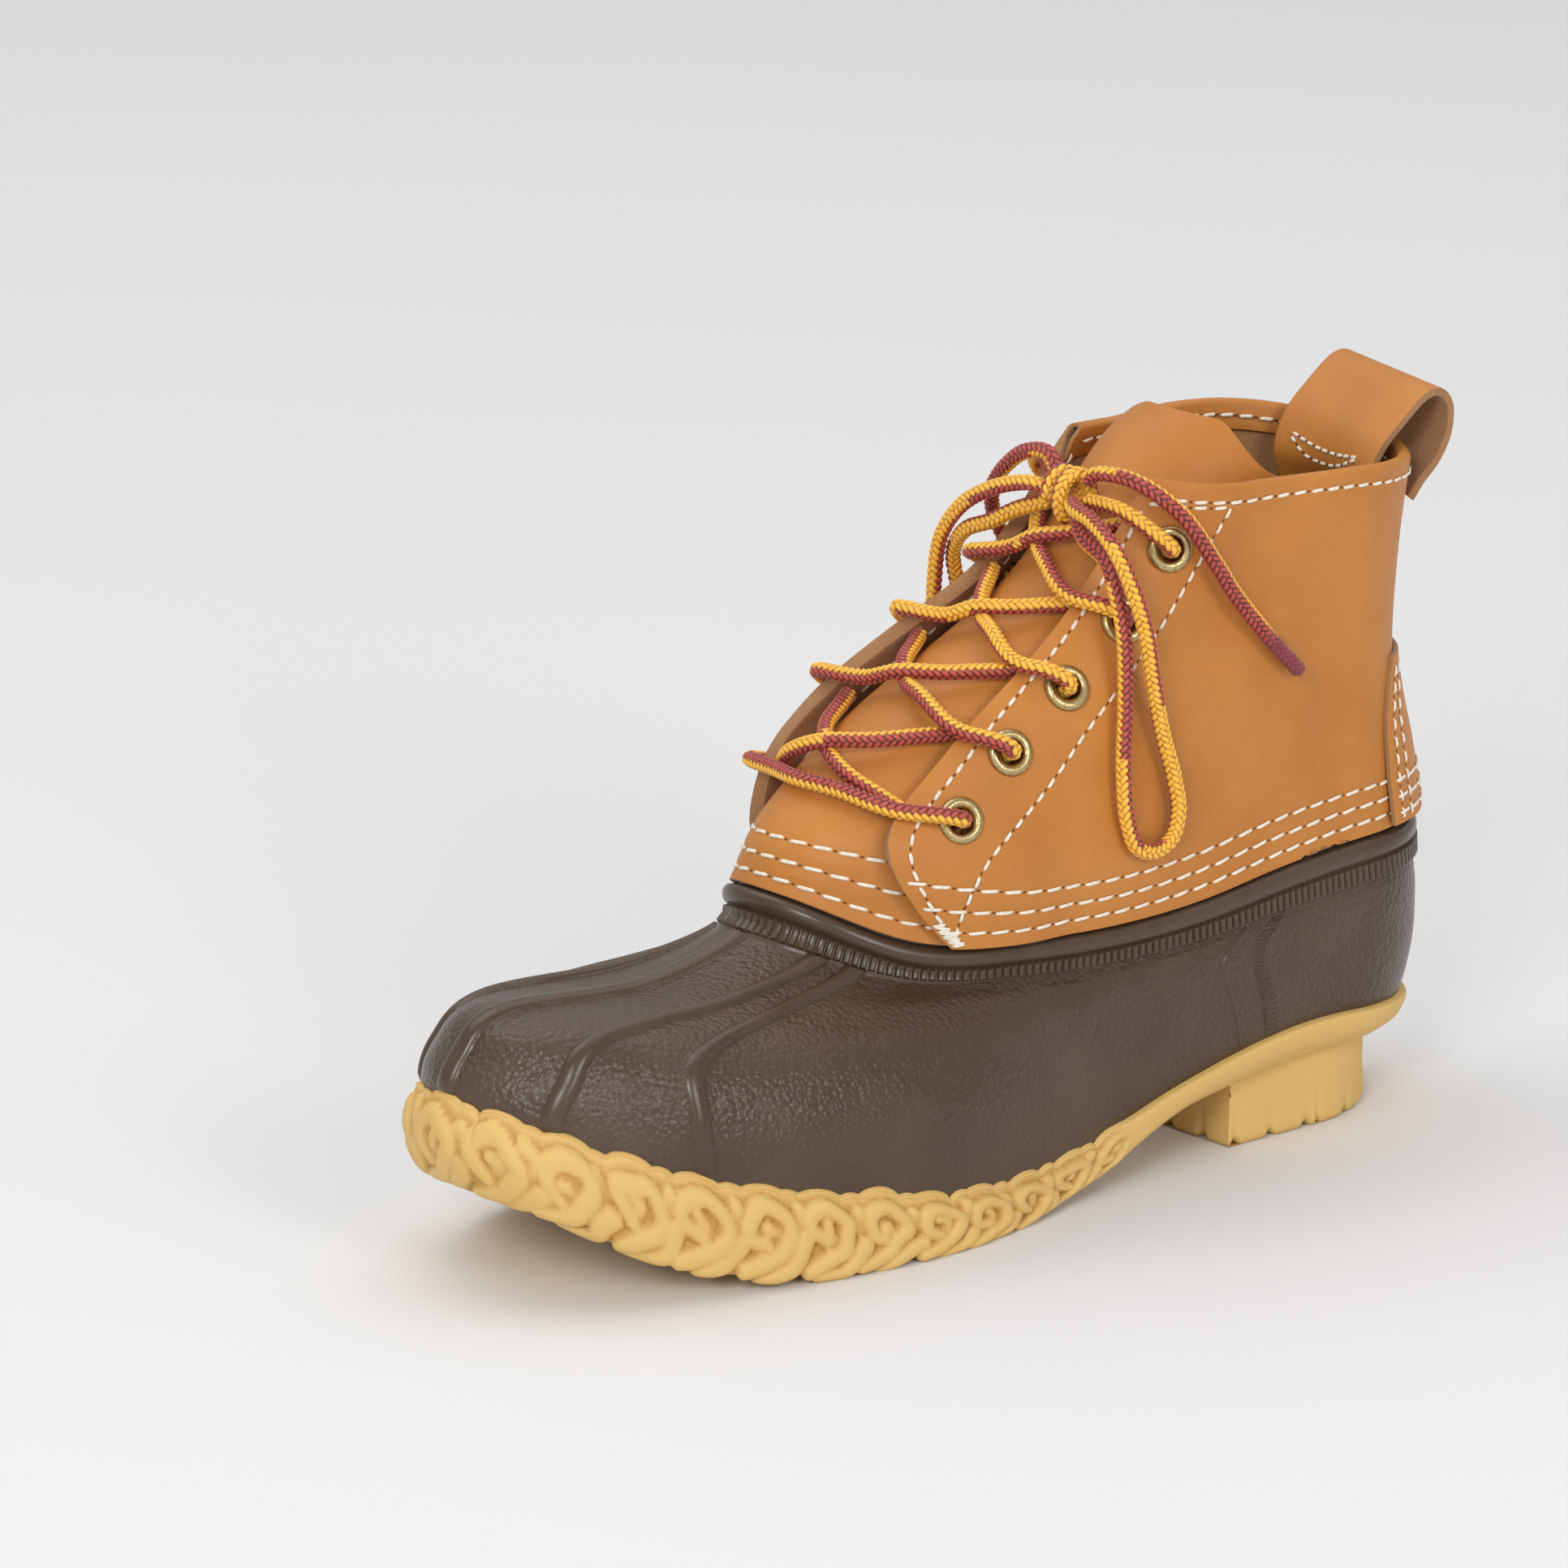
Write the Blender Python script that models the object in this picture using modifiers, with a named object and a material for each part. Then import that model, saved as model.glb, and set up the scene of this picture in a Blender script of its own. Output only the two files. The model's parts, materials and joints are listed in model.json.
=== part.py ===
"""All-weather boot, left foot: rubber bottom, leather quarters, gum outsole and laces.

Frame: +X from heel to toe, +Y to the outer side, +Z up, standing on Z = 0.
Tables are in millimetres in the last's own frame, with the heel near x = 0.
"""

from collections import namedtuple
from math import pi

import bmesh
import bpy
import numpy as np
from mathutils import Matrix, Vector

MM = 0.001
GAP = 0.3
CENTRE_X = 146.19
CENTRE_Y = -3.23

# Rings of the last from the sole upwards: reach at heel and toe, drift of the
# centre line at the toe, and half widths at heel, waist and ball.
Ring = namedtuple("Ring", "x_back x_front toe_y heel waist_out waist_in ball_out ball_in")
RINGS = (
    Ring(6.0, 290.5, -8.0, 31.0, 34.0, 32.0, 47.5, 45.5),    # feather edge
    Ring(2.0, 297.0, -8.0, 34.5, 37.0, 35.0, 49.0, 48.0),    # foxing line
    Ring(-1.5, 293.0, -8.0, 36.5, 38.5, 37.0, 50.0, 49.0),   # side wall
    Ring(-2.0, 281.0, -7.0, 37.0, 38.0, 37.0, 45.0, 44.0),   # toe dome
    Ring(-1.5, 240.0, -6.0, 36.5, 37.0, 36.5, 38.5, 38.0),   # vamp
    Ring(-1.0, 209.0, -6.0, 35.5, 36.0, 35.5, 36.0, 35.0),   # knurled band
    Ring(-0.5, 206.0, -6.0, 34.5, 36.0, 35.0, 37.0, 35.5),   # topline
    Ring(2.0, 204.5, -4.0, 33.0, 35.0, 34.0, 38.0, 33.5),    # stitched edge
    Ring(6.5, 180.6, -2.0, 32.0, 34.0, 34.0, 34.0, 34.0),    # ankle
    Ring(5.0, 132.3, 0.5, 31.5, 33.0, 33.0, 31.5, 28.5),     # shaft
    Ring(2.0, 113.0, 4.0, 32.0, 34.0, 33.0, 31.0, 28.5),     # collar
    Ring(1.0, 106.0, 4.0, 32.0, 33.5, 32.0, 31.0, 28.0),     # tongue top
)

# Height of each ring at stations along the foot, and how much its inner side is raised.
Rise = namedtuple("Rise", "back heel shank waist ball shoulder front lean")
RISES = (
    Rise(24.0, 22.5, 16.5, 8.0, 8.5, 17.0, 34.0, 0.0),
    Rise(28.0, 29.8, 23.0, 13.3, 19.5, 32.0, 48.0, 0.0),
    Rise(42.0, 41.0, 38.0, 33.0, 36.5, 45.5, 58.0, 0.0),
    Rise(55.0, 53.0, 51.0, 47.5, 50.5, 56.5, 66.8, 0.0),
    Rise(62.0, 60.0, 58.0, 55.5, 56.5, 61.0, 65.5, 0.0),
    Rise(66.0, 64.0, 62.0, 59.5, 59.5, 63.0, 73.0, 0.0),
    Rise(76.0, 75.0, 72.5, 69.0, 68.3, 71.8, 84.0, 0.0),
    Rise(94.0, 93.0, 91.0, 87.5, 88.0, 94.5, 100.0, 0.0),
    Rise(118.0, 117.0, 116.0, 115.0, 114.0, 116.0, 118.0, 2.0),
    Rise(145.0, 144.5, 144.0, 143.5, 143.0, 143.0, 143.0, 4.0),
    Rise(163.5, 166.5, 168.0, 168.7, 169.5, 171.0, 172.5, 8.0),
    Rise(166.0, 168.0, 169.0, 170.0, 178.0, 185.0, 187.5, 2.0),
)
WIDTH_STATIONS = (0.14, 0.40, 0.66)
RISE_STATIONS = (0.0, 0.20, 0.34, 0.46, 0.72, 0.88, 1.0)
TOE_FROM = 0.66
TOE_POWER = 2.15
DRIFT_FROM = 0.35
HEEL_ROUNDING = 1.05
TOPLINE = 6.0
COLLAR = 10.0
TONGUE_TOP = 11.0

# Throat, per level from the topline: front edges of the outer and inner quarter, front of
# the tongue, how far it lies inside the quarters, and how far back its wings reach.
Throat = namedtuple("Throat", "edge_out edge_in tongue_x sink wing_x")
THROATS = (
    Throat(171.0, 174.0, 206.0, 0.0, 158.0),
    Throat(187.0, 184.0, 198.0, 2.3, 150.0),
    Throat(166.5, 165.5, 172.0, 5.4, 126.0),
    Throat(126.0, 122.5, 125.5, 6.0, 86.0),
    Throat(106.0, 89.0, 97.0, 7.5, 60.0),
    Throat(98.0, 80.0, 80.5, 8.0, 58.0),
)

LEATHER = 2.0
EYESTAY_LEATHER = 4.0
EYESTAY_WIDTH = 21.0
EYESTAY_STEP = 3.0
EYESTAY_FROM = (6.9, 7.3)
COLLAR_LEATHER = 3.6
COLLAR_TURN = 9.75
QUARTER_LIFT = 2.5
LIFT_FROM_X = 136.0
LIFT_FULL_X = 155.0
LIFT_FADE = (6.6, 7.8)
QUARTER_LEVELS = (6.03, 6.5, 7.0, 7.4, 8.0, 8.5, 9.0, 9.5, 9.74, 9.77, COLLAR)
QUARTER_SHARES = (*np.linspace(0, 0.84, 11), 0.88, 0.94, 1.0)
TONGUE_LEVELS = (6.03, 6.4, 6.8, 7.2, 7.7, 8.3, 9.0, 9.5, 10.0, 10.5, TONGUE_TOP)
TONGUE_COLUMNS = 15

RUBBER = 2.4
FLANGE = 1.5
FLANGE_LEVELS = (5.97, 6.75)
FLANGE_GAP = 0.7
BAND_LEVEL = 5.0
RIB_STAND = 1.1
# Rows of the shell: level, how far it stands off the last, and whether the ribs run over it.
Shell = namedtuple("Shell", "level stand ribbed")
SHELLS = (
    Shell(0.0, 0.0, 0), Shell(1.0, 0.0, 0), Shell(1.35, 0.0, 1), Shell(1.9, 0.0, 1), Shell(2.5, 0.0, 1),
    Shell(3.1, 0.0, 1), Shell(3.7, 0.0, 1), Shell(4.3, 0.0, 1), Shell(4.85, 0.0, 1),
    Shell(BAND_LEVEL, 0.8, 0), Shell(5.5, 0.8, 0), Shell(5.62, 1.6, 0), Shell(5.85, 1.6, 0),
)
RIB_HALF_ANGLE = np.radians(2.0)
SIDE_COLUMNS = 12
# Ribs of one side: ring angle in degrees at the foxing and at the knurled band.
Rib = namedtuple("Rib", "at_foxing at_band")
RIBS = (Rib(134.0, 148.0), Rib(157.0, 156.0), Rib(180.0, 180.0))

LINK_RELIEF = 0.8
LINK_FADE_X = (116.0, 132.0)
HEEL_FADE_X = (95.0, 125.0)
TOE_FADE = (0.85, 1.0)
# Rows of the foxing down from its lip: level on the last, how far it stands off it, what heel and
# toe add to that, and the share of the link relief.
Foxing = namedtuple("Foxing", "level stand heel toe relief")
FOXINGS = (Foxing(0.97, 2.6, 0.0, 0.0, 1.0), Foxing(0.5, 4.2, -1.0, 3.5, -1.0))
# Rows below the feather edge: how far they stand off it, what heel and toe add to that, the share
# of the link relief, the height as a share of the edge's, and the lift over the tread.
Side = namedtuple("Side", "stand heel toe relief share lift")
SIDES = (Side(4.8, -3.6, 2.5, 1.0, 0.45, 0.0), Side(4.2, -6.0, -1.0, -1.0, 0.0, 0.9),
         Side(1.5, -5.5, -1.5, 0.0, 0.0, 0.0), Side(-7.0, 0.0, 0.0, 0.0, 0.0, 0.0))
UNDERSIDE = Rise(19.5, 17.5, 13.5, 4.0, 0.0, 7.0, 25.0, 0.0)
TREAD_DEPTH = 2.2
TREAD_EDGE = -8.2
TREAD_SPINE = 15.0
BAR_FROM_X = 150.0
BAR_PITCH = 14.0
BAR_COUNT = 9
BAR_WIDTH = 6.0
BAR_SWING = 3.5
BAR_INSET = 11.0
BAR_POINTS = 7
BAR_KEY = 1.6

HEEL_BACK = 12.5
HEEL_BREAST = 79.0
HEEL_HALF = 31.0
HEEL_KEY = 1.8
HEEL_ROUND = 1.15
HEEL_STEPS = 13

INSOLE = 4.0
INSOLE_CLEAR = 1.2
BED_SPINE = 12.0
BED_SHOULDER = 9.0

# Back stay, per level: half its angle round the heel, and how far it stands off the quarters.
Stay = namedtuple("Stay", "level half_angle stand")
STAYS = (Stay(6.06, 0.20, 3.8), Stay(6.5, 0.17, 3.6), Stay(7.0, 0.14, 3.0), Stay(7.5, 0.125, 2.4),
         Stay(8.05, 0.11, 2.2))
STAY_SEAT = 0.5
STRAP_COLUMNS = 7

LOOP_LEATHER = 2.2
LOOP_HALF_WIDTH = 17.5
# Pull loop from its end inside the collar, over the top and down outside: middle line, and
# how far its edges stand forward of it.
Strap = namedtuple("Strap", "x z camber")
LOOP_PATH = (
    Strap(9.5, 142.0, 6.4), Strap(10.2, 150.0, 6.2), Strap(13.5, 158.0, 4.8), Strap(17.5, 165.0, 3.0),
    Strap(15.0, 173.0, 1.5), Strap(8.5, 179.5, 0.5), Strap(1.0, 185.0, 0.0), Strap(-4.5, 185.5, 0.0),
    Strap(-8.0, 181.5, 0.0), Strap(-8.0, 174.5, 0.5), Strap(-5.5, 167.5, 2.0), Strap(-2.0, 162.0, 4.0),
    Strap(0.4, 157.0, 5.5),
)
LOOP_LEAN = 2.6
LOOP_LEAN_Z = (150.0, 175.0)
LOOP_ROWS = 18

EYELET_LEVELS = (7.37, 8.0, 8.48, 8.97, 9.53)
EYELET_INSET = 14.5
EYELET_HOLE = 3.0
EYELET_BARREL = 3.5
EYELET_FLANGE = 5.9
EYELET_RISE = 1.4
EYELET_SEAT = 0.9
EYELET_SIDES = 8
HOLE_DEPTH = 14.0

# Round lace: its radius, its clearance on leather and tongue, the lift of the upper strand of a
# crossing and of a strand that comes off an edge, and its run out of an eyelet: height, distance.
LACE = 2.1
LACE_CLEAR = 0.6
TONGUE_CLEAR = 1.1
LACE_LIFT = 3.0
EDGE_LIFT = 2.1
Bend = namedtuple("Bend", "height ahead")
EYELET_BENDS = (Bend(2.2, 0.0), Bend(4.5, 1.5), Bend(4.9, EYELET_FLANGE))
STRAND_STEP = 5.5
CORD_STEP = 10.0
STRAND_ROUNDING = 1
CORD_ROUNDING = 2
KNOT = (112.0, 4.5, 170.0)
KNOT_HALF = (6.0, 7.0, 7.0)
KNOT_SEGMENTS = (10, 6)
KNOT_CLEAR = 0.45
# Free runs of the lace from the knot: both loops go back to it and both ends hang.
LOOP_OUT = (
    (118.5, 13.0, 169.0), (121.2, 22.5, 167.8), (123.2, 33.5, 162.2), (121.6, 38.4, 152.8),
    (118.5, 39.5, 142.6), (115.4, 38.8, 130.0), (111.5, 38.0, 115.3), (108.2, 38.5, 102.5),
    (107.0, 38.8, 93.0), (110.3, 39.0, 86.6), (116.2, 39.0, 86.8), (120.8, 38.6, 94.0),
    (122.8, 37.3, 108.3), (121.2, 36.0, 123.4), (121.2, 34.2, 143.3), (121.3, 31.8, 151.2),
    (120.5, 27.2, 158.2), (119.5, 18.0, 162.5),
)
LOOP_IN = (
    (116.0, -4.0, 172.0), (117.0, -11.5, 171.0), (118.0, -20.0, 168.0), (118.2, -30.0, 162.0),
    (117.8, -37.5, 153.0), (117.2, -40.5, 141.0), (117.5, -40.0, 125.0), (117.0, -39.0, 108.0),
    (114.0, -38.8, 98.5), (109.0, -38.8, 95.5), (104.5, -38.8, 99.5), (104.3, -38.8, 110.0),
    (107.0, -39.0, 126.0), (110.7, -39.0, 139.5), (113.5, -37.5, 148.5), (116.0, -30.0, 156.0),
    (116.0, -20.0, 160.0), (115.3, -11.5, 164.3),
)
END_OUT = (
    (111.3, 12.0, 176.0), (110.3, 18.5, 177.0), (107.5, 27.5, 175.0), (102.0, 33.5, 168.9),
    (93.0, 36.5, 156.2), (86.3, 36.8, 147.1), (75.3, 37.0, 135.2), (63.8, 37.0, 124.1),
)
END_IN = (
    (110.5, -4.5, 178.5), (110.0, -13.5, 178.0), (109.0, -23.0, 172.5), (105.5, -32.0, 164.0),
    (100.0, -36.5, 155.0), (92.0, -38.0, 145.0), (81.0, -38.3, 134.0), (69.0, -38.0, 123.5),
)
TIE_LEVEL = 9.78

SHARP_ANGLE = np.radians(40)
MERGE = 1e-6
# Finishes: colour, roughness and metallic value.
GUM = ((0.63, 0.42, 0.15), 0.6)
DARK_RUBBER = ((0.045, 0.032, 0.026), 0.38)
TAN_LEATHER = ((0.42, 0.19, 0.05), 0.5)
FOOTBED = ((0.35, 0.25, 0.16), 0.9)
BRASS = ((0.45, 0.32, 0.12), 0.35, 1.0)
MAROON = ((0.26, 0.035, 0.03), 0.8)


def weights(knots, at):
    """Interval of each place along the knots, and the four weights of a smooth curve there."""
    knots = np.asarray(knots, dtype=float)
    index = np.clip(np.searchsorted(knots, at, side="right") - 1, 0, len(knots) - 2)
    step = knots[index + 1] - knots[index]
    part = (at - knots[index]) / step
    start = (1 + 2 * part) * (1 - part) ** 2
    leave = step * part * (1 - part) ** 2
    arrive = step * part ** 2 * (part - 1)
    return index, start, 1 - start, leave, arrive


def through(knots, rows, at):
    """Smooth curve through table rows at knots: one set of the table's columns for each place."""
    rows = np.asarray(rows, dtype=float)
    at = np.asarray(at, dtype=float)
    slopes = np.gradient(rows, np.asarray(knots, dtype=float), axis=0)
    index, *parts = weights(knots, at)
    start, end, leave, arrive = [part.reshape(at.shape + (1,) * (rows.ndim - 1)) for part in parts]
    return (start * rows[index] + end * rows[index + 1]
            + leave * slopes[index] + arrive * slopes[index + 1])


def between(low, high, value):
    """Smooth step from 0 at low to 1 at high."""
    part = np.clip((np.asarray(value, dtype=float) - low) / (high - low), 0.0, 1.0)
    return part * part * (3 - 2 * part)


def unit(vectors):
    """Vectors scaled to length one."""
    return vectors / np.linalg.norm(vectors, axis=-1, keepdims=True)


def throat_at(level):
    """Throat of a level, from the topline up."""
    return Throat(*through(TOPLINE + np.arange(len(THROATS)), THROATS, level).T)


def ring_height(along, rise):
    """Height along a ring, with its own stations for each point."""
    stations = np.asarray(RISE_STATIONS)
    heights = rise[..., :-1]
    slopes = np.gradient(heights, stations, axis=-1)
    index, start, end, leave, arrive = weights(stations, along)

    def pick(table, place):
        return np.take_along_axis(table, place[..., None], axis=-1)[..., 0]

    return (start * pick(heights, index) + end * pick(heights, index + 1)
            + leave * pick(slopes, index) + arrive * pick(slopes, index + 1))


def ring_point(angle, ring, rise):
    """Points of rings at angles: 0 at the heel, pi at the toe, positive on the outer side."""
    x_back, x_front, toe_y, heel, waist_out, waist_in, ball_out, ball_in = np.moveaxis(ring, -1, 0)
    along = (1 - np.cos(angle)) / 2
    side = np.where(np.sin(angle) >= 0, 1.0, -1.0)
    waist = np.where(side > 0, waist_out, waist_in)
    ball = np.where(side > 0, ball_out, ball_in)
    at_heel, at_waist, at_ball = WIDTH_STATIONS
    half = heel + (waist - heel) * between(at_heel, at_waist, along)
    half = half + (ball - waist) * between(at_waist, at_ball, along)
    heel_bend = np.clip(1 - along * (x_front - x_back) / (HEEL_ROUNDING * heel), 0, 1)
    toe_bend = np.clip((along - TOE_FROM) / (1 - TOE_FROM), 0, 1)
    taper = np.sqrt(1 - heel_bend ** 2) * (1 - toe_bend ** TOE_POWER) ** (1 / TOE_POWER)
    x = x_back + (x_front - x_back) * along
    y = toe_y * between(DRIFT_FROM, 1.0, along) + side * half * taper
    z = ring_height(along, rise) + rise[..., -1] * (1 - side * taper) / 2
    return np.stack([x, y, z], axis=-1)


def last(angle, level):
    """Outer face of the last at ring angles and levels."""
    angle, level = np.broadcast_arrays(np.asarray(angle, float), np.asarray(level, float))
    rows = np.arange(len(RINGS))
    return ring_point(angle, through(rows, RINGS, level), through(rows, RISES, level))


def instep(angle, level):
    """The face under the quarters: as last, with its front drawn in to the tongue."""
    angle, level = np.broadcast_arrays(np.asarray(angle, float), np.asarray(level, float))
    rows = np.arange(len(RINGS))
    ring = through(rows, RINGS, level)
    throat = throat_at(np.maximum(level, TOPLINE).ravel())
    above = level >= TOPLINE
    ring[..., 1] = np.where(above, throat.tongue_x.reshape(level.shape), ring[..., 1])
    ring[..., 3:] -= np.where(above, throat.sink.reshape(level.shape), 0.0)[..., None]
    return ring_point(angle, ring, through(rows, RISES, level))


def outward(surface, angle, level):
    """Unit normals of a face of the last, pointing out."""
    step = 0.004
    ahead = surface(angle + step, level) - surface(angle - step, level)
    up = surface(angle, level + step) - surface(angle, level - step)
    return unit(np.cross(up, ahead))


def stand_off(surface, angle, level, stand):
    """Points that stand off a face of the last by a distance."""
    angle, level, stand = np.broadcast_arrays(angle, level, stand)
    return surface(angle, level) + outward(surface, angle, level) * stand[..., None]


def angle_at(x, x_back, x_front):
    """Ring angle where a ring of the given reach passes x."""
    return np.arccos(np.clip(1 - 2 * (x - x_back) / (x_front - x_back), -1, 1))


def throat_edge(level, side):
    """Ring angle of a quarter's front edge: side 1 is the outer quarter, -1 the inner one."""
    ring = Ring(*through(np.arange(len(RINGS)), RINGS, level))
    throat = throat_at(level)
    edge = throat.edge_out if side > 0 else throat.edge_in
    return side * angle_at(edge, ring.x_back, ring.x_front)


def quarter_lift(points, level):
    """How far the quarters ride out over the vamp at their front lower corners."""
    over_vamp = between(LIFT_FROM_X, LIFT_FULL_X, points[..., 0])
    return QUARTER_LIFT * over_vamp * (1 - between(*LIFT_FADE, level))


def quarter_face(angle, level):
    """Outer face of the quarters."""
    points = last(angle, level)
    return points + outward(last, angle, level) * quarter_lift(points, level)[..., None]


def material(name, colour, roughness, metallic=0.0):
    """Principled material of one colour."""
    made = bpy.data.materials.new(name)
    made.use_nodes = True
    shader = made.node_tree.nodes["Principled BSDF"]
    shader.inputs["Base Color"].default_value = (*colour, 1.0)
    shader.inputs["Roughness"].default_value = roughness
    shader.inputs["Metallic"].default_value = metallic
    return made


def add_part(name, mesh, finish):
    """New object of the boot under its origin, with its own material."""
    made = bpy.data.objects.new(name, mesh)
    boot.objects.link(made)
    made.parent = origin
    mesh.materials.append(material(name, *finish))
    mesh.shade_smooth()
    mesh.set_sharp_from_angle(angle=SHARP_ANGLE)
    return made


def add_cutter(name, mesh):
    """New object that only cuts or joins a part."""
    made = bpy.data.objects.new(name, mesh)
    cutters.objects.link(made)
    made.parent = origin
    made.hide_render = True
    made.display_type = "WIRE"
    return made


def combine(target, cutter, operation):
    """Boolean of a part by a cutter."""
    made = target.modifiers.new(cutter.name, "BOOLEAN")
    made.operation = operation
    made.object = cutter


def finished(shape, name):
    """Mesh of a bmesh, which is freed."""
    mesh = bpy.data.meshes.new(name)
    shape.to_mesh(mesh)
    shape.free()
    return mesh


def lofted(points, closed_round, thickness=None):
    """Grid laid through rows of points, with any wall thickness as a vertex weight."""
    rows, columns = points.shape[:2]
    steps = columns if closed_round else columns - 1
    shape = bmesh.new()
    bmesh.ops.create_grid(shape, x_segments=steps, y_segments=rows - 1, size=1.0)
    share = shape.verts.layers.deform.verify()
    for vertex in shape.verts:
        column = round((vertex.co.x + 1) / 2 * steps) % columns
        row = round((vertex.co.y + 1) / 2 * (rows - 1))
        vertex.co = Vector(points[row, column]) * MM
        if thickness is not None:
            vertex[share][0] = thickness[row, column] / thickness.max()
    bmesh.ops.remove_doubles(shape, verts=shape.verts, dist=MERGE)
    bmesh.ops.dissolve_degenerate(shape, edges=shape.edges, dist=MERGE)
    return shape


def add_solid(name, points, finish):
    """Closed solid lofted through closed rows whose first and last rows fold onto a line."""
    shape = lofted(points, closed_round=True)
    bmesh.ops.recalc_face_normals(shape, faces=shape.faces)
    return add_part(name, finished(shape, name), finish)


def add_sheet(name, points, thickness, finish, closed_round=False, side=-1.0):
    """Sheet lofted through rows of points, with a wall of given thickness on one side."""
    thickness = np.broadcast_to(np.asarray(thickness, dtype=float), points.shape[:2])
    shape = lofted(points, closed_round, thickness)
    bmesh.ops.reverse_faces(shape, faces=shape.faces)
    made = add_part(name, finished(shape, name), finish)
    made.vertex_groups.new(name="wall")
    wall = made.modifiers.new("wall", "SOLIDIFY")
    wall.thickness = float(thickness.max()) * MM
    wall.offset = side
    wall.vertex_group = "wall"
    wall.use_even_offset = True
    return made


def prisms(name, outlines, top):
    """Upright prisms on closed outlines of points, up to a height that a function gives for x."""
    shape = bmesh.new()
    for outline in outlines:
        face = shape.faces.new([shape.verts.new(Vector(point) * MM) for point in outline])
        grown = bmesh.ops.extrude_face_region(shape, geom=[face])["geom"]
        for item in grown:
            if isinstance(item, bmesh.types.BMVert):
                item.co.z = top(item.co.x / MM) * MM
    bmesh.ops.recalc_face_normals(shape, faces=shape.faces)
    return finished(shape, name)


def shell_columns(level):
    """Ring angles of the rubber shell at a level, with three columns at each rib."""
    share = np.clip((level - 1.0) / (BAND_LEVEL - 1.0), 0, 1)
    ribs = [np.radians(rib.at_foxing + (rib.at_band - rib.at_foxing) * share) for rib in RIBS]
    half = list(np.linspace(0, ribs[0] - RIB_HALF_ANGLE, SIDE_COLUMNS))
    for rib, following in zip(ribs, ribs[1:]):
        half += [rib, rib + RIB_HALF_ANGLE, (rib + following) / 2, following - RIB_HALF_ANGLE]
    half = np.array(half + [pi])
    return np.concatenate([half, -half[1:-1][::-1]])


def rib_columns():
    """One on the middle column of each rib, else zero."""
    half = np.zeros(len(shell_columns(1.0)) // 2 + 1)
    half[SIDE_COLUMNS::4] = 1.0
    return np.concatenate([half, half[1:-1][::-1]])


def spine(angles, height, inset):
    """Centre line of the sole, where both sides of a ring meet, short of its ends by an inset."""
    ring = RINGS[0]
    along = (1 - np.cos(angles)) / 2
    x = ring.x_back + inset + (ring.x_front - ring.x_back - 2 * inset) * along
    return np.stack([x, ring.toe_y * between(DRIFT_FROM, 1.0, along), height], axis=-1)


def sole_edge(angles):
    """Feather edge of the last, and its level outward normals."""
    level = np.zeros(angles.shape)
    normal = outward(last, angles, level) * (1, 1, 0)
    return last(angles, level), unit(normal)


def underside(along):
    """Height of the tread along the sole, flat on the floor under the ball."""
    return np.maximum(through(RISE_STATIONS, UNDERSIDE[:-1], along), 0.0)


def sole_height(x):
    """Height of the tread at x."""
    ring = RINGS[0]
    return float(underside((x - ring.x_back) / (ring.x_front - ring.x_back)))


def midway(points):
    """Closed row of points with the middle of each chord put in."""
    doubled = np.repeat(points, 2, axis=0)
    doubled[1::2] = (points + np.roll(points, -1, axis=0)) / 2
    return doubled


def sole_columns():
    """Ring angles of the sole, two to each column of the shell."""
    turns = np.unwrap(shell_columns(1.0))
    angles = np.repeat(turns, 2)
    angles[1::2] = (turns + np.append(turns[1:], turns[0] + 2 * pi)) / 2
    return angles


def bed_rows(height, inset):
    """Rows of the sole's bed at a height over it, from its centre line to an inset from the edge."""
    angles = shell_columns(1.0)
    edge, normal = sole_edge(angles)
    edge = edge + (0, 0, height)
    return [spine(angles, edge[:, 2], BED_SPINE), edge - normal * BED_SHOULDER, edge - normal * inset]


def build_outsole():
    """Outsole: bed, foxing rim with link relief, tread, shank and block heel in one moulding."""
    angles = sole_columns()
    along = (1 - np.cos(angles)) / 2
    edge, normal = sole_edge(angles)
    rim = midway(stand_off(last, angles[::2], np.ones(len(angles) // 2), GAP))
    under = underside(along)
    heel = 1 - between(*HEEL_FADE_X, edge[:, 0])
    toe = between(*TOE_FADE, along)
    links = between(*LINK_FADE_X, edge[:, 0])
    zigzag = LINK_RELIEF * links * np.where(np.arange(len(angles)) % 2 == 0, 1.0, -1.0)

    def stand(row):
        return row.stand + row.heel * heel + row.toe * toe + row.relief * zigzag

    def side(stand, height):
        level = np.stack([edge[:, 0], edge[:, 1], height], axis=-1)
        return level + normal * np.broadcast_to(stand, height.shape)[:, None]

    rows = [midway(row) for row in bed_rows(-GAP, -GAP)] + [rim]
    rows += [stand_off(last, angles, row.level, stand(row)) for row in FOXINGS]
    rows += [side(stand(row), under + row.share * (edge[:, 2] - under) + row.lift) for row in SIDES]
    tread = under + TREAD_DEPTH * links
    rows += [side(TREAD_EDGE, tread), spine(angles, tread, TREAD_SPINE)]
    made = add_solid("outsole", np.stack(rows), GUM)
    combine(made, add_cutter("heel_block", heel_block()), "UNION")
    combine(made, add_cutter("tread_bars", tread_bars()), "UNION")


def heel_block():
    """Block heel under the back of the sole, round behind and straight at the breast."""
    turn = np.linspace(0, pi, HEEL_STEPS)
    rounding = HEEL_HALF * HEEL_ROUND
    behind = [(HEEL_BACK + rounding * (1 - np.sin(t)), HEEL_HALF * np.cos(t), 0.0) for t in turn]
    breast = [(HEEL_BREAST, -HEEL_HALF, 0.0), (HEEL_BREAST, HEEL_HALF, 0.0)]
    return prisms("heel_block", [behind + breast], lambda x: sole_height(x) + HEEL_KEY)


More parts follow.
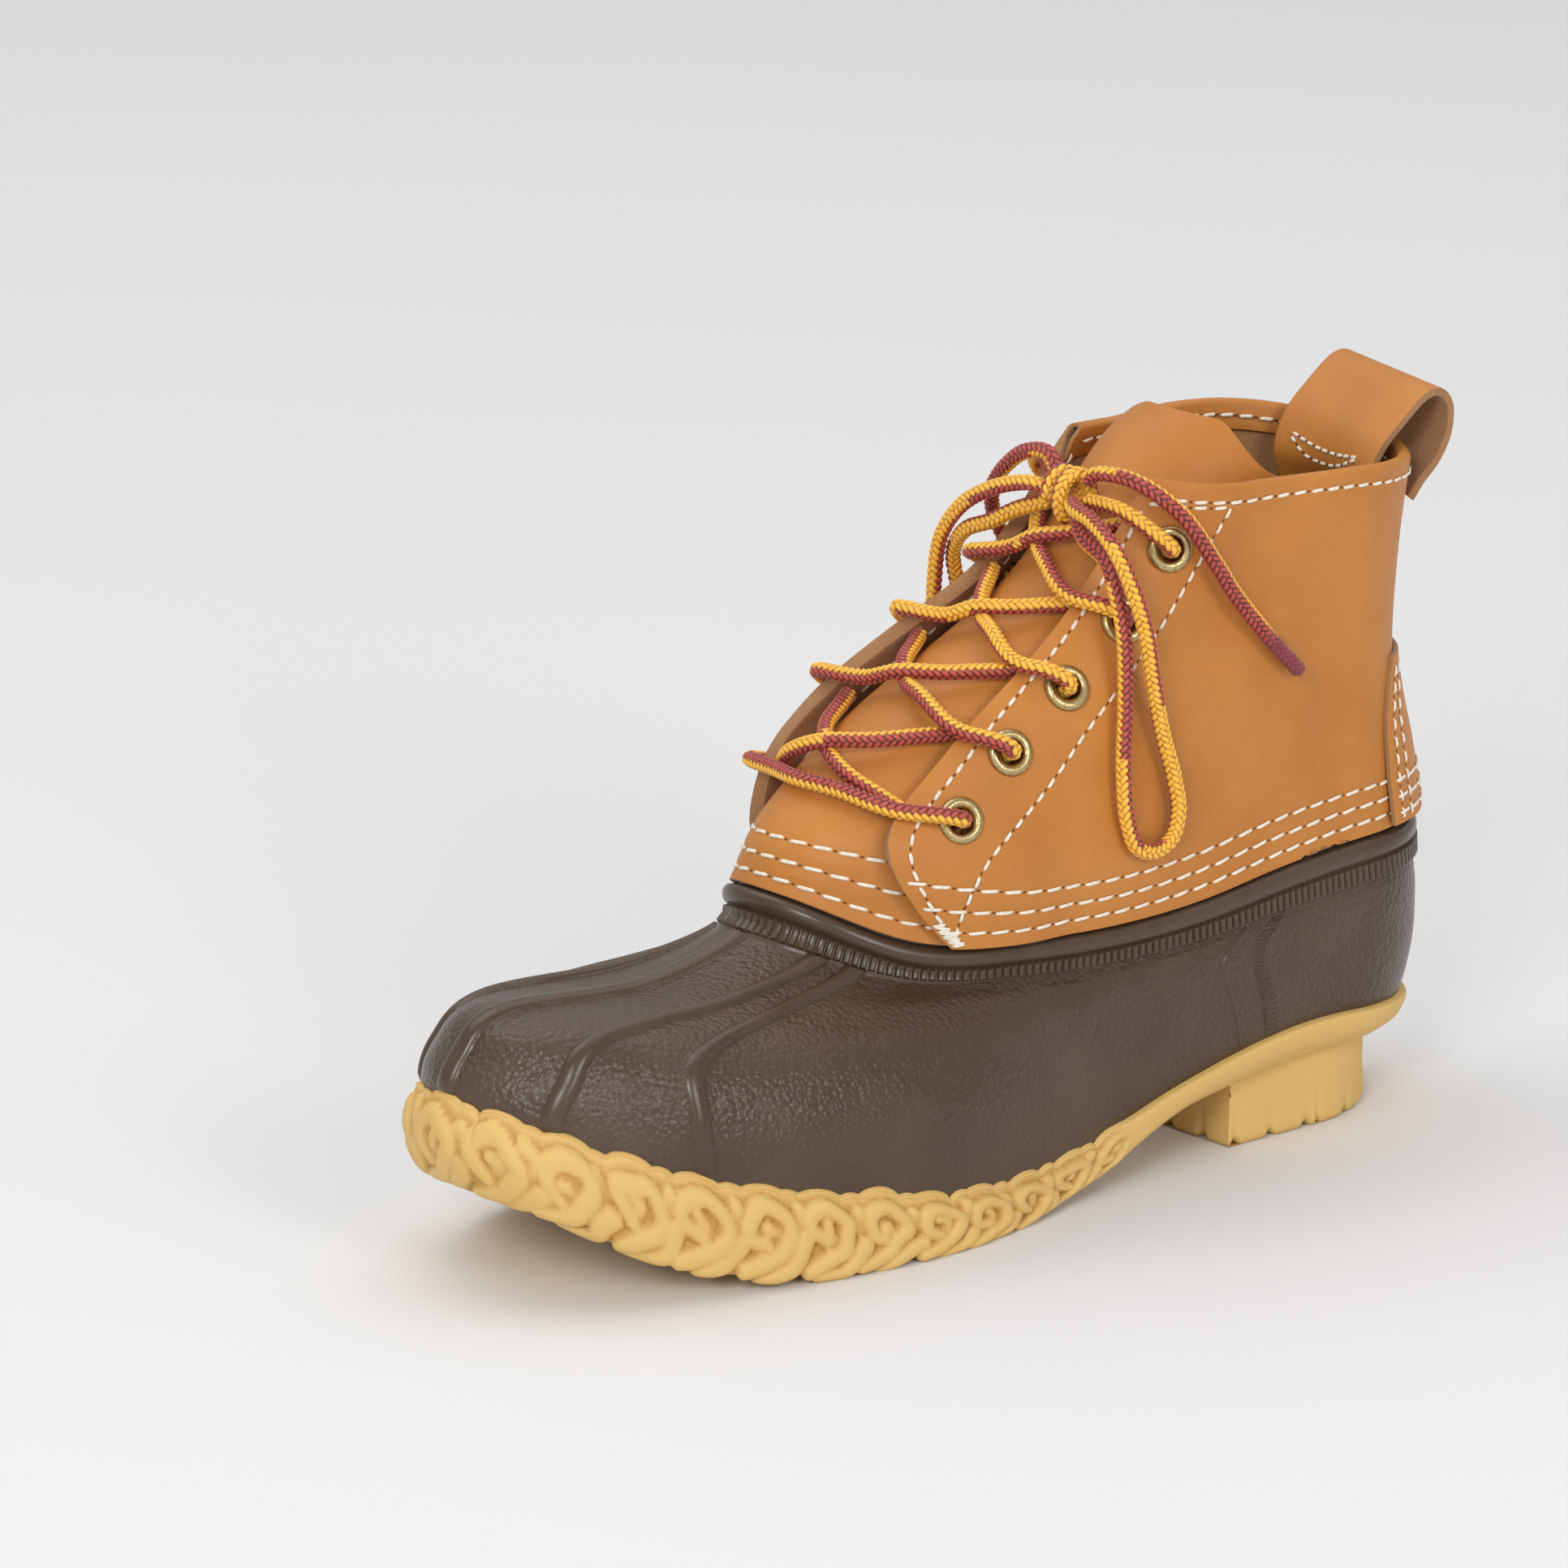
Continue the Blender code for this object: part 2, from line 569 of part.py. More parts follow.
def tread_bars():
    """Zigzag bars across the forefoot that follow the toe spring."""
    ring = RINGS[0]
    outlines = []
    for number in range(BAR_COUNT):
        x = BAR_FROM_X + BAR_PITCH * number
        turn = float(angle_at(x, ring.x_back, ring.x_front))
        low, high = sole_edge(np.array([-turn, turn]))[0][:, 1]
        across = np.linspace(low + BAR_INSET, high - BAR_INSET, BAR_POINTS)
        swing = x + BAR_SWING * np.where(np.arange(BAR_POINTS) % 2 == 0, 1.0, -1.0)
        line = list(zip(swing - BAR_WIDTH / 2, across)) + list(zip(swing + BAR_WIDTH / 2, across))[::-1]
        outlines.append([(px, py, sole_height(px)) for px, py in line])
    return prisms("tread_bars", outlines, lambda x: sole_height(x) + TREAD_DEPTH + BAR_KEY)


def build_rubber_bottom():
    """Rubber shell: ribbed toe, knurled band, bead, and the flange that the leather is sewn to."""
    points = []
    walls = []
    for row in SHELLS:
        angles = shell_columns(row.level)
        stand = row.stand + RIB_STAND * row.ribbed * rib_columns()
        points.append(stand_off(last, angles, row.level, stand))
        walls.append(RUBBER + stand)
    angles = shell_columns(BAND_LEVEL)
    for level in FLANGE_LEVELS:
        points.append(stand_off(instep, angles, level, -LEATHER - FLANGE_GAP))
        walls.append(np.full(angles.shape, FLANGE))
    add_sheet("rubber_bottom", np.stack(points), np.stack(walls), DARK_RUBBER, closed_round=True)


def build_quarters():
    """Leather wall from one throat edge round the heel to the other, doubled at eyestays and collar."""
    share = np.array(QUARTER_SHARES)
    points = []
    walls = []
    for level in QUARTER_LEVELS:
        outer = throat_edge(level, 1)
        inner = throat_edge(level, -1)
        angles = np.concatenate([inner * share[:0:-1], outer * share])
        face = quarter_face(angles, np.full(angles.shape, level))
        points.append(face)
        to_edge = np.minimum(np.linalg.norm(face - face[0], axis=1), np.linalg.norm(face - face[-1], axis=1))
        doubled = (1 - between(EYESTAY_WIDTH - EYESTAY_STEP, EYESTAY_WIDTH, to_edge))
        doubled = doubled * between(*EYESTAY_FROM, level)
        wall = LEATHER + (EYESTAY_LEATHER - LEATHER) * doubled
        walls.append(np.maximum(wall, COLLAR_LEATHER) if level > COLLAR_TURN else wall)
    made = add_sheet("quarters", np.stack(points), np.stack(walls), TAN_LEATHER)
    combine(made, add_cutter("eyelet_holes", eyelet_holes()), "DIFFERENCE")


def build_tongue():
    """Leather vamp and tongue: one sheet under the quarters that rises above the collar."""
    rings = np.arange(len(RINGS))
    points = []
    for level in TONGUE_LEVELS:
        throat = throat_at(level)
        ring = Ring(*through(rings, RINGS, level))
        wing = pi - angle_at(throat.wing_x, ring.x_back, throat.tongue_x)
        angles = pi + np.linspace(-1, 1, TONGUE_COLUMNS) * wing
        points.append(instep(angles, np.full(angles.shape, level)))
    add_sheet("tongue", np.stack(points), LEATHER, TAN_LEATHER)


def build_insole():
    """Footbed on the bed of the outsole, inside the shell."""
    inset = RUBBER + INSOLE_CLEAR
    add_solid("insole", np.stack(bed_rows(0.0, inset) + bed_rows(INSOLE, inset)[::-1]), FOOTBED)


def build_back_stay():
    """Leather strip over the back seam, wider at the foot."""
    share = np.linspace(-1, 1, STRAP_COLUMNS)
    rows = [stand_off(last, share * stay.half_angle, stay.level, stay.stand) for stay in STAYS]
    walls = [np.full(share.shape, stay.stand - STAY_SEAT) for stay in STAYS]
    add_sheet("back_stay", np.stack(rows), np.stack(walls), TAN_LEATHER)


def build_pull_loop():
    """Leather strap looped over the back of the collar."""
    knots = np.arange(len(LOOP_PATH))
    path = through(knots, LOOP_PATH, np.linspace(0, knots[-1], LOOP_ROWS))
    across = np.linspace(-1, 1, STRAP_COLUMNS)
    x = path[:, :1] + path[:, 2:] * across ** 2
    y = np.broadcast_to(LOOP_HALF_WIDTH * across, x.shape)
    raised = between(*LOOP_LEAN_Z, path[:, 1:2])
    z = path[:, 1:2] - LOOP_LEAN * raised * across
    add_sheet("pull_loop", np.stack([x, y, z], axis=-1), LOOP_LEATHER, TAN_LEATHER, side=0.0)


def eyelet_seat(number, side):
    """Centre of an eyelet on the quarter's outer face, and the normal there."""
    level = EYELET_LEVELS[number]
    edge = throat_edge(level, side)
    step = 0.01
    pace = np.linalg.norm(last(edge + step, level) - last(edge - step, level)) / (2 * step)
    angle = np.asarray(edge - side * EYELET_INSET / pace)
    level = np.asarray(level)
    return quarter_face(angle, level), outward(last, angle, level)


def seat_matrix(number, side):
    """Placement of an eyelet with its axis on the quarter's normal."""
    centre, normal = eyelet_seat(number, side)
    turn = Vector(normal).to_track_quat("Z", "Y").to_matrix().to_4x4()
    return Matrix.Translation(Vector(centre) * MM) @ turn


def eyelet_holes():
    """Holes through the quarters for all the eyelets."""
    shape = bmesh.new()
    for side in (1, -1):
        for number in range(len(EYELET_LEVELS)):
            bmesh.ops.create_cone(shape, cap_ends=True, segments=EYELET_SIDES, depth=HOLE_DEPTH * MM,
                                  radius1=(EYELET_BARREL + GAP) * MM, radius2=(EYELET_BARREL + GAP) * MM,
                                  matrix=seat_matrix(number, side))
    return finished(shape, "eyelet_holes")


def build_eyelets():
    """Brass eyelets: a rolled flange on the leather and a barrel through it."""
    low, top = EYELET_SEAT, EYELET_SEAT + EYELET_RISE
    crown = (EYELET_HOLE + EYELET_FLANGE) / 2
    foot = -EYESTAY_LEATHER + GAP
    profile = ((EYELET_HOLE, (low + top) / 2), (crown, top), (EYELET_FLANGE, low),
               (EYELET_BARREL, low), (EYELET_BARREL, foot), (EYELET_HOLE, foot))
    for side, place in ((1, "out"), (-1, "in")):
        for number in range(len(EYELET_LEVELS)):
            name = f"eyelet_{place}_{number + 1}"
            shape = bmesh.new()
            ring = [shape.verts.new((r * MM, 0, z * MM)) for r, z in profile]
            for start, end in zip(ring, ring[1:] + ring[:1]):
                shape.edges.new((start, end))
            made = add_part(name, finished(shape, name), BRASS)
            made.matrix_parent_inverse = Matrix.Identity(4)
            made.matrix_local = seat_matrix(number, side)
            turned = made.modifiers.new("turned", "SCREW")
            turned.steps = turned.render_steps = EYELET_SIDES
            turned.merge_threshold = MERGE
            turned.use_merge_vertices = True
            turned.use_normal_calculate = True
            turned.use_normal_flip = True


def lace_curve(name, route, step, rounding):
    """Round lace along a smooth curve through route points, with a bevel resolution."""
    route = np.array(route)
    reach = np.insert(np.cumsum(np.linalg.norm(np.diff(route, axis=0), axis=1)), 0, 0.0)
    places = np.linspace(0, reach[-1], round(reach[-1] / step) + 1)
    curve = bpy.data.curves.new(name, "CURVE")
    curve.dimensions = "3D"
    curve.bevel_depth = LACE * MM
    curve.bevel_resolution = rounding
    curve.use_fill_caps = True
    spline = curve.splines.new("POLY")
    spline.points.add(len(places) - 1)
    for point, place in zip(spline.points, through(reach, route, places)):
        point.co = (*(place * MM), 1.0)
    return curve


def strand_mesh(name, route):
    """Closed mesh of one taut strand."""
    holder = bpy.data.objects.new(name, lace_curve(name, route, STRAND_STEP, STRAND_ROUNDING))
    shape = bmesh.new()
    shape.from_mesh(bpy.data.meshes.new_from_object(holder))
    bpy.data.objects.remove(holder)
    bmesh.ops.remove_doubles(shape, verts=shape.verts, dist=MERGE)
    return finished(shape, name)


def over_edge(number, side, level):
    """Strand points out of an eyelet and over the quarter's front edge at a level."""
    centre, normal = eyelet_seat(number, side)
    edge = np.asarray(throat_edge(level, side))
    over = stand_off(quarter_face, edge, np.asarray(level), LACE + LACE_CLEAR)
    ahead = over - centre
    ahead = unit(ahead - normal * (ahead @ normal))
    out = [centre + normal * bend.height + ahead * bend.ahead for bend in EYELET_BENDS]
    return out + [over + ahead * LACE_CLEAR]


def beside_edge(level, side):
    """Ring angle on the tongue where a lace lies just clear of a quarter's front edge."""
    edge = quarter_face(np.asarray(throat_edge(level, side)), np.asarray(level))
    turns = pi - side * np.linspace(0.0, 1.5, 151)
    reach = np.linalg.norm(instep(turns, np.full(turns.shape, level)) - edge, axis=1)
    return turns[np.argmax(reach < np.hypot(reach.min(), LACE + 2 * LACE_CLEAR))]


def over_tongue(start, end, lifts):
    """Strand points over the tongue from one quarter's edge to the other's, each a level and a side."""
    share = np.linspace(0, 1, len(lifts))
    turns = beside_edge(*start) + (beside_edge(*end) - beside_edge(*start)) * share
    levels = start[0] + (end[0] - start[0]) * share
    return list(stand_off(instep, turns, levels, LACE + TONGUE_CLEAR + np.array(lifts)))


def crossing_strand(number, side, lift):
    """Strand from an eyelet over its quarter's edge and under the other edge to the next eyelet."""
    level, following = EYELET_LEVELS[number:number + 2]
    if number == 0:
        return over_tongue((level, side), (following, -side), (0, lift / 2, lift, lift / 2, 0))
    leaving = level + (following - level) / 4
    across = over_tongue((leaving, side), (following, -side), (0, EDGE_LIFT, lift, lift / 2, 0))
    return over_edge(number, side, leaving) + across[1:]


def knot_face(toward):
    """Point just clear of the knot, on the way to a place."""
    ahead = unit(np.array(toward) - KNOT)
    return KNOT + ahead * (1 / np.linalg.norm(ahead / KNOT_HALF) + KNOT_CLEAR)


def build_lacing():
    """Taut lace: the bar over the lowest eyelets, four crossings, and two runs up to the knot."""
    level = EYELET_LEVELS[0]
    across = over_tongue((level, 1), (level, -1), (0, LACE_CLEAR, LACE_CLEAR, LACE_CLEAR, 0))
    bar = over_edge(0, 1, level) + across[1:-1] + over_edge(0, -1, level)[::-1]
    add_part("lace_bar", strand_mesh("lace_bar", bar), MAROON)
    for number in range(len(EYELET_LEVELS) - 1):
        name = f"lace_cross_{number + 1}"
        made = add_part(name, strand_mesh(name, crossing_strand(number, 1, 0.0)), MAROON)
        other = add_cutter(f"{name}_over", strand_mesh(name, crossing_strand(number, -1, LACE_LIFT)))
        combine(made, other, "UNION")
    for side, place in ((1, "out"), (-1, "in")):
        run = over_edge(len(EYELET_LEVELS) - 1, side, TIE_LEVEL)
        name = f"lace_tie_{place}"
        add_part(name, strand_mesh(name, run + [knot_face(run[-1])]), MAROON)


def build_bow():
    """Free lace: the knot, two loops and two ends."""
    around, upright = KNOT_SEGMENTS
    place = Matrix.Translation(Vector(KNOT) * MM) @ Matrix.Diagonal((*(Vector(KNOT_HALF) * MM), 1.0))
    shape = bmesh.new()
    bmesh.ops.create_uvsphere(shape, u_segments=around, v_segments=upright, radius=1.0, matrix=place)
    add_part("lace_knot", finished(shape, "lace_knot"), MAROON)
    for name, route in (("lace_loop_out", LOOP_OUT), ("lace_loop_in", LOOP_IN)):
        add_cord(name, [knot_face(route[0]), *route, knot_face(route[-1])])
    for name, route in (("lace_end_out", END_OUT), ("lace_end_in", END_IN)):
        add_cord(name, [knot_face(route[0]), *route])


def add_cord(name, route):
    """New free run of the lace."""
    made = bpy.data.objects.new(name, lace_curve(name, route, CORD_STEP, CORD_ROUNDING))
    boot.objects.link(made)
    made.parent = origin
    made.data.materials.append(material(name, *MAROON))


for old in list(bpy.data.objects):
    bpy.data.objects.remove(old, do_unlink=True)
boot = bpy.data.collections.new("all_weather_boot")
cutters = bpy.data.collections.new("cutters")
bpy.context.scene.collection.children.link(boot)
bpy.context.scene.collection.children.link(cutters)
origin = bpy.data.objects.new("boot_origin", None)
origin.location = (-CENTRE_X * MM, -CENTRE_Y * MM, 0.0)
boot.objects.link(origin)

build_outsole()
build_rubber_bottom()
build_quarters()
build_tongue()
build_insole()
build_back_stay()
build_pull_loop()
build_eyelets()
build_lacing()
build_bow()
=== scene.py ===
"""All-weather boot, left foot: the dressed model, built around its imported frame.

Sizes are millimetres in the last's own frame, with the heel near x = 0, +Y on the outer side
and the floor at z = 0. BootLast.world turns them into the frame's metres.
"""

from __future__ import annotations

import json
import logging
from contextlib import contextmanager
from dataclasses import dataclass
from enum import Enum
from math import pi, radians
from typing import Callable, Iterable, Iterator, NamedTuple, Sequence

import bpy
import numpy as np
from mathutils import Matrix, Vector

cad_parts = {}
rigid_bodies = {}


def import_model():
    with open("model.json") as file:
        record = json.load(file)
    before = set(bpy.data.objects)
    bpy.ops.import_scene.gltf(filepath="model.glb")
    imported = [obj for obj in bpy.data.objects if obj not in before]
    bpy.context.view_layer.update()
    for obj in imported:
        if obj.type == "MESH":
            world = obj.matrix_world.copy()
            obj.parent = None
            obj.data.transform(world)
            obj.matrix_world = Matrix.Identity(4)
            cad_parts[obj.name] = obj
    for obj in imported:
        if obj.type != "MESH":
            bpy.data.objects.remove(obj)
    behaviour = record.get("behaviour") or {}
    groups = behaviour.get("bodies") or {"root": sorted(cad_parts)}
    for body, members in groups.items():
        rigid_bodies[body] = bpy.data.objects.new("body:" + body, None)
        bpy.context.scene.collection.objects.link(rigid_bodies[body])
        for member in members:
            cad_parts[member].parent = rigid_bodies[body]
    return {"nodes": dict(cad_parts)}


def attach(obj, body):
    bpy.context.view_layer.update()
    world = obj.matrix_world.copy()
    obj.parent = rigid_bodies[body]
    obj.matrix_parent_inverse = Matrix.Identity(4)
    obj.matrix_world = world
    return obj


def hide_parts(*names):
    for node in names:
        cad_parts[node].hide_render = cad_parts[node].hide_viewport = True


MM = 0.001
MERGE = 2e-6
CUT_ANGLE = radians(55)
LOG = logging.getLogger("boot")

Points = np.ndarray
Piece = bpy.types.Object
Material = bpy.types.Material
Surface = Callable[[Points, Points], Points]


class Side(Enum):
    """The two sides of the boot, as the sign of y."""

    OUT = 1
    IN = -1


class Sharp(Enum):
    """Angle in degrees from which the edges of a piece stay sharp."""

    KNURL = 35.0
    GUM = 38.0
    LEATHER = 45.0
    TURNED = 50.0
    SHELL = 60.0
    THREAD = 70.0
    LACE = 75.0


class Ring(NamedTuple):
    """Reach, drift and half widths of one ring of the last."""

    x_back: float
    x_front: float
    toe_y: float
    heel: float
    waist_out: float
    waist_in: float
    ball_out: float
    ball_in: float


class Rise(NamedTuple):
    """Heights of one ring at stations along the foot, and the lift of its inner side."""

    back: float
    heel: float
    shank: float
    waist: float
    ball: float
    shoulder: float
    front: float
    lean: float


class Throat(NamedTuple):
    """Front edges of both quarters, front of the tongue, its depth and the reach of its wings."""

    edge_out: float
    edge_in: float
    tongue_x: float
    sink: float
    wing_x: float


def weights(knots: Sequence[float], at: Points) -> tuple[Points, ...]:
    """Weights of a smooth curve.

    Args:
        knots: Rising places of the table's rows.
        at: Places to read the curve at.

    Returns:
        Interval of each place, and its four weights: start, end, and the slopes at both.
    """
    knots = np.asarray(knots, dtype=float)
    index = np.clip(np.searchsorted(knots, at, side="right") - 1, 0, len(knots) - 2)
    step = knots[index + 1] - knots[index]
    part = (at - knots[index]) / step
    start = (1 + 2 * part) * (1 - part) ** 2
    leave = step * part * (1 - part) ** 2
    arrive = step * part ** 2 * (part - 1)
    return index, start, 1 - start, leave, arrive


def through(knots: Sequence[float], rows: Sequence, at: Points) -> Points:
    """Smooth curve through table rows.

    Args:
        knots: Rising places of the rows.
        rows: Table of one or more columns.
        at: Places to read the curve at.

    Returns:
        One set of the table's columns for each place.
    """
    rows = np.asarray(rows, dtype=float)
    at = np.asarray(at, dtype=float)
    slopes = np.gradient(rows, np.asarray(knots, dtype=float), axis=0)
    index, *parts = weights(knots, at)
    start, end, leave, arrive = [part.reshape(at.shape + (1,) * (rows.ndim - 1)) for part in parts]
    return (start * rows[index] + end * rows[index + 1]
            + leave * slopes[index] + arrive * slopes[index + 1])


def between(low: float, high: float, value: Points) -> Points:
    """Smooth step from 0 at low to 1 at high."""
    part = np.clip((np.asarray(value, dtype=float) - low) / (high - low), 0.0, 1.0)
    return part * part * (3 - 2 * part)


def unit(vectors: Points) -> Points:
    """Vectors scaled to length one."""
    return vectors / np.linalg.norm(vectors, axis=-1, keepdims=True)


def bump(distance: Points, half_width: float) -> Points:
    """Smooth ridge: 1 on the line, 0 from half_width away."""
    return 1 - between(0.0, half_width, np.abs(distance))


def reach_of(line: Points) -> Points:
    """Distance along a line of points, from its first."""
    return np.insert(np.cumsum(np.linalg.norm(np.diff(line, axis=0), axis=1)), 0, 0.0)


def along_line(line: Points, places: Points, values: Points | None = None) -> Points:
    """Points of a line, or vectors kept for them, at distances along it."""
    reach = reach_of(line)
    table = line if values is None else values
    return np.stack([np.interp(places, reach, table[:, axis]) for axis in range(3)], axis=-1)


@dataclass(frozen=True)
class BootLast:
    """The last that every piece lies on. Angle 0 is the heel, pi the toe; levels rise from the sole."""

    rings: tuple[Ring, ...] = (
        Ring(6.0, 290.5, -8.0, 31.0, 34.0, 32.0, 47.5, 45.5),
        Ring(2.0, 297.0, -8.0, 34.5, 37.0, 35.0, 49.0, 48.0),
        Ring(-1.5, 293.0, -8.0, 36.5, 38.5, 37.0, 50.0, 49.0),
        Ring(-2.0, 281.0, -7.0, 37.0, 38.0, 37.0, 45.0, 44.0),
        Ring(-1.5, 240.0, -6.0, 36.5, 37.0, 36.5, 38.5, 38.0),
        Ring(-1.0, 209.0, -6.0, 35.5, 36.0, 35.5, 36.0, 35.0),
        Ring(-0.5, 206.0, -6.0, 34.5, 36.0, 35.0, 37.0, 35.5),
        Ring(2.0, 204.5, -4.0, 33.0, 35.0, 34.0, 38.0, 33.5),
        Ring(6.5, 180.6, -2.0, 32.0, 34.0, 34.0, 34.0, 34.0),
        Ring(5.0, 132.3, 0.5, 31.5, 33.0, 33.0, 31.5, 28.5),
        Ring(2.0, 113.0, 4.0, 32.0, 34.0, 33.0, 31.0, 28.5),
        Ring(1.0, 106.0, 4.0, 32.0, 33.5, 32.0, 31.0, 28.0),
    )
    rises: tuple[Rise, ...] = (
        Rise(24.0, 22.5, 16.5, 8.0, 8.5, 17.0, 34.0, 0.0),
        Rise(28.0, 29.8, 23.0, 13.3, 19.5, 32.0, 48.0, 0.0),
        Rise(42.0, 41.0, 38.0, 33.0, 36.5, 45.5, 58.0, 0.0),
        Rise(55.0, 53.0, 51.0, 47.5, 50.5, 56.5, 66.8, 0.0),
        Rise(62.0, 60.0, 58.0, 55.5, 56.5, 61.0, 65.5, 0.0),
        Rise(66.0, 64.0, 62.0, 59.5, 59.5, 63.0, 73.0, 0.0),
        Rise(76.0, 75.0, 72.5, 69.0, 68.3, 71.8, 84.0, 0.0),
        Rise(94.0, 93.0, 91.0, 87.5, 88.0, 94.5, 100.0, 0.0),
        Rise(118.0, 117.0, 116.0, 115.0, 114.0, 116.0, 118.0, 2.0),
        Rise(145.0, 144.5, 144.0, 143.5, 143.0, 143.0, 143.0, 4.0),
        Rise(163.5, 166.5, 168.0, 168.7, 169.5, 171.0, 172.5, 8.0),
        Rise(166.0, 168.0, 169.0, 170.0, 178.0, 185.0, 187.5, 2.0),
    )
    throats: tuple[Throat, ...] = (
        Throat(171.0, 174.0, 206.0, 0.0, 158.0),
        Throat(187.0, 184.0, 198.0, 2.3, 150.0),
        Throat(166.5, 165.5, 172.0, 5.4, 126.0),
        Throat(126.0, 122.5, 125.5, 6.0, 86.0),
        Throat(106.0, 89.0, 97.0, 7.5, 60.0),
        Throat(98.0, 80.0, 80.5, 8.0, 58.0),
    )
    underside: Rise = Rise(19.5, 17.5, 13.5, 4.0, 0.0, 7.0, 25.0, 0.0)
    width_stations: tuple = (0.14, 0.40, 0.66)
    rise_stations: tuple = (0.0, 0.20, 0.34, 0.46, 0.72, 0.88, 1.0)
    toe_from: float = 0.66
    toe_power: float = 2.15
    drift_from: float = 0.35
    heel_rounding: float = 1.05
    topline: float = 6.0
    collar: float = 10.0
    tongue_top: float = 11.0
    quarter_lift: float = 2.5
    lift_x: tuple = (136.0, 155.0)
    lift_fade: tuple = (6.6, 7.8)
    flare: float = 5.2
    flare_width: float = 15.0
    flare_from: tuple = (6.7, 7.75)
    flare_to: tuple = (8.5, 9.6)
    centre: tuple = (146.19, -3.23, 0.0)
    probe: float = 0.004
    stride: float = 0.01
    inset_to: float = 0.5
    inset_steps: int = 160

    def world(self, points: Points) -> Points:
        """Points of the last's frame in the frame's metres."""
        return (np.asarray(points, dtype=float) - self.centre) * MM

    def ring_at(self, level: Points) -> Ring:
        """Ring of any levels."""
        return Ring(*np.moveaxis(through(np.arange(len(self.rings)), self.rings, level), -1, 0))

    def throat_at(self, level: Points) -> Throat:
        """Throat of levels from the topline up."""
        knots = self.topline + np.arange(len(self.throats))
        return Throat(*np.moveaxis(through(knots, self.throats, level), -1, 0))

    def _ring_height(self, along: Points, rise: Points) -> Points:
        """Height along rings, each with its own stations."""
        stations = np.asarray(self.rise_stations)
        heights = rise[..., :-1]
        slopes = np.gradient(heights, stations, axis=-1)
        index, start, end, leave, arrive = weights(stations, along)

        def pick(table: Points, place: Points) -> Points:
            """Entry of each ring's table at its place."""
            return np.take_along_axis(table, place[..., None], axis=-1)[..., 0]

        return (start * pick(heights, index) + end * pick(heights, index + 1)
                + leave * pick(slopes, index) + arrive * pick(slopes, index + 1))

    def _ring_point(self, angle: Points, ring: Points, rise: Points) -> Points:
        """Points of rings at angles."""
        x_back, x_front, toe_y, heel, waist_out, waist_in, ball_out, ball_in = np.moveaxis(ring, -1, 0)
        along = (1 - np.cos(angle)) / 2
        side = np.where(np.sin(angle) >= 0, 1.0, -1.0)
        waist = np.where(side > 0, waist_out, waist_in)
        ball = np.where(side > 0, ball_out, ball_in)
        at_heel, at_waist, at_ball = self.width_stations
        half = heel + (waist - heel) * between(at_heel, at_waist, along)
        half = half + (ball - waist) * between(at_waist, at_ball, along)
        heel_bend = np.clip(1 - along * (x_front - x_back) / (self.heel_rounding * heel), 0, 1)
        toe_bend = np.clip((along - self.toe_from) / (1 - self.toe_from), 0, 1)
        taper = np.sqrt(1 - heel_bend ** 2) * (1 - toe_bend ** self.toe_power) ** (1 / self.toe_power)
        x = x_back + (x_front - x_back) * along
        y = toe_y * between(self.drift_from, 1.0, along) + side * half * taper
        z = self._ring_height(along, rise) + rise[..., -1] * (1 - side * taper) / 2
        return np.stack([x, y, z], axis=-1)

    def face(self, angle: Points, level: Points) -> Points:
        """Outer face of the last at ring angles and levels."""
        angle, level = np.broadcast_arrays(np.asarray(angle, float), np.asarray(level, float))
        rows = np.arange(len(self.rings))
        return self._ring_point(angle, through(rows, self.rings, level), through(rows, self.rises, level))

    def instep(self, angle: Points, level: Points) -> Points:
        """The face under the quarters: as face, with its front drawn in to the tongue."""
        angle, level = np.broadcast_arrays(np.asarray(angle, float), np.asarray(level, float))
        rows = np.arange(len(self.rings))
        ring = through(rows, self.rings, level)
        throat = self.throat_at(np.maximum(level, self.topline))
        above = level >= self.topline
        ring[..., 1] = np.where(above, throat.tongue_x, ring[..., 1])
        ring[..., 3:] -= np.where(above, throat.sink, 0.0)[..., None]
        return self._ring_point(angle, ring, through(rows, self.rises, level))

    def quarter(self, angle: Points, level: Points) -> Points:
        """Outer face of the quarters, which ride out over the vamp at their lower front corners."""
        points = self.face(angle, level)
        over_vamp = between(*self.lift_x, points[..., 0])
        lift = self.quarter_lift * over_vamp * (1 - between(*self.lift_fade, level))
        return points + self.outward(self.face, angle, level) * lift[..., None]

    def flare_at(self, level: Points, side: Side, to_edge: Points) -> Points:
        """How far a quarter bends away from the tongue near its front edge."""
        if side is Side.OUT:
            return np.zeros(np.broadcast(level, to_edge).shape)
        tall = between(*self.flare_from, level) * (1 - between(*self.flare_to, level))
        return self.flare * tall * np.clip(1 - np.asarray(to_edge) / self.flare_width, 0, 1) ** 2

    def outward(self, surface: Surface, angle: Points, level: Points) -> Points:
        """Unit normals of a face, pointing out."""
        angle, level = np.broadcast_arrays(np.asarray(angle, float), np.asarray(level, float))
        ahead = surface(angle + self.probe, level) - surface(angle - self.probe, level)
        up = surface(angle, level + self.probe) - surface(angle, level - self.probe)
        return unit(np.cross(up, ahead))

    def pace(self, angle: Points, level: Points) -> Points:
        """Distance round the face for each radian, at ring angles and levels."""
        chord = self.face(angle + self.stride, level) - self.face(angle - self.stride, level)
        return np.linalg.norm(chord, axis=-1) / (2 * self.stride)

    def stand_off(self, surface: Surface, angle: Points, level: Points, stand: Points) -> Points:
        """Points that stand off a face by a distance."""
        angle, level, stand = np.broadcast_arrays(angle, level, stand)
        return surface(angle, level) + self.outward(surface, angle, level) * stand[..., None]

    def angle_at(self, x: Points, x_back: Points, x_front: Points) -> Points:
        """Ring angle where a ring of the given reach passes x."""
        return np.arccos(np.clip(1 - 2 * (x - x_back) / (x_front - x_back), -1, 1))

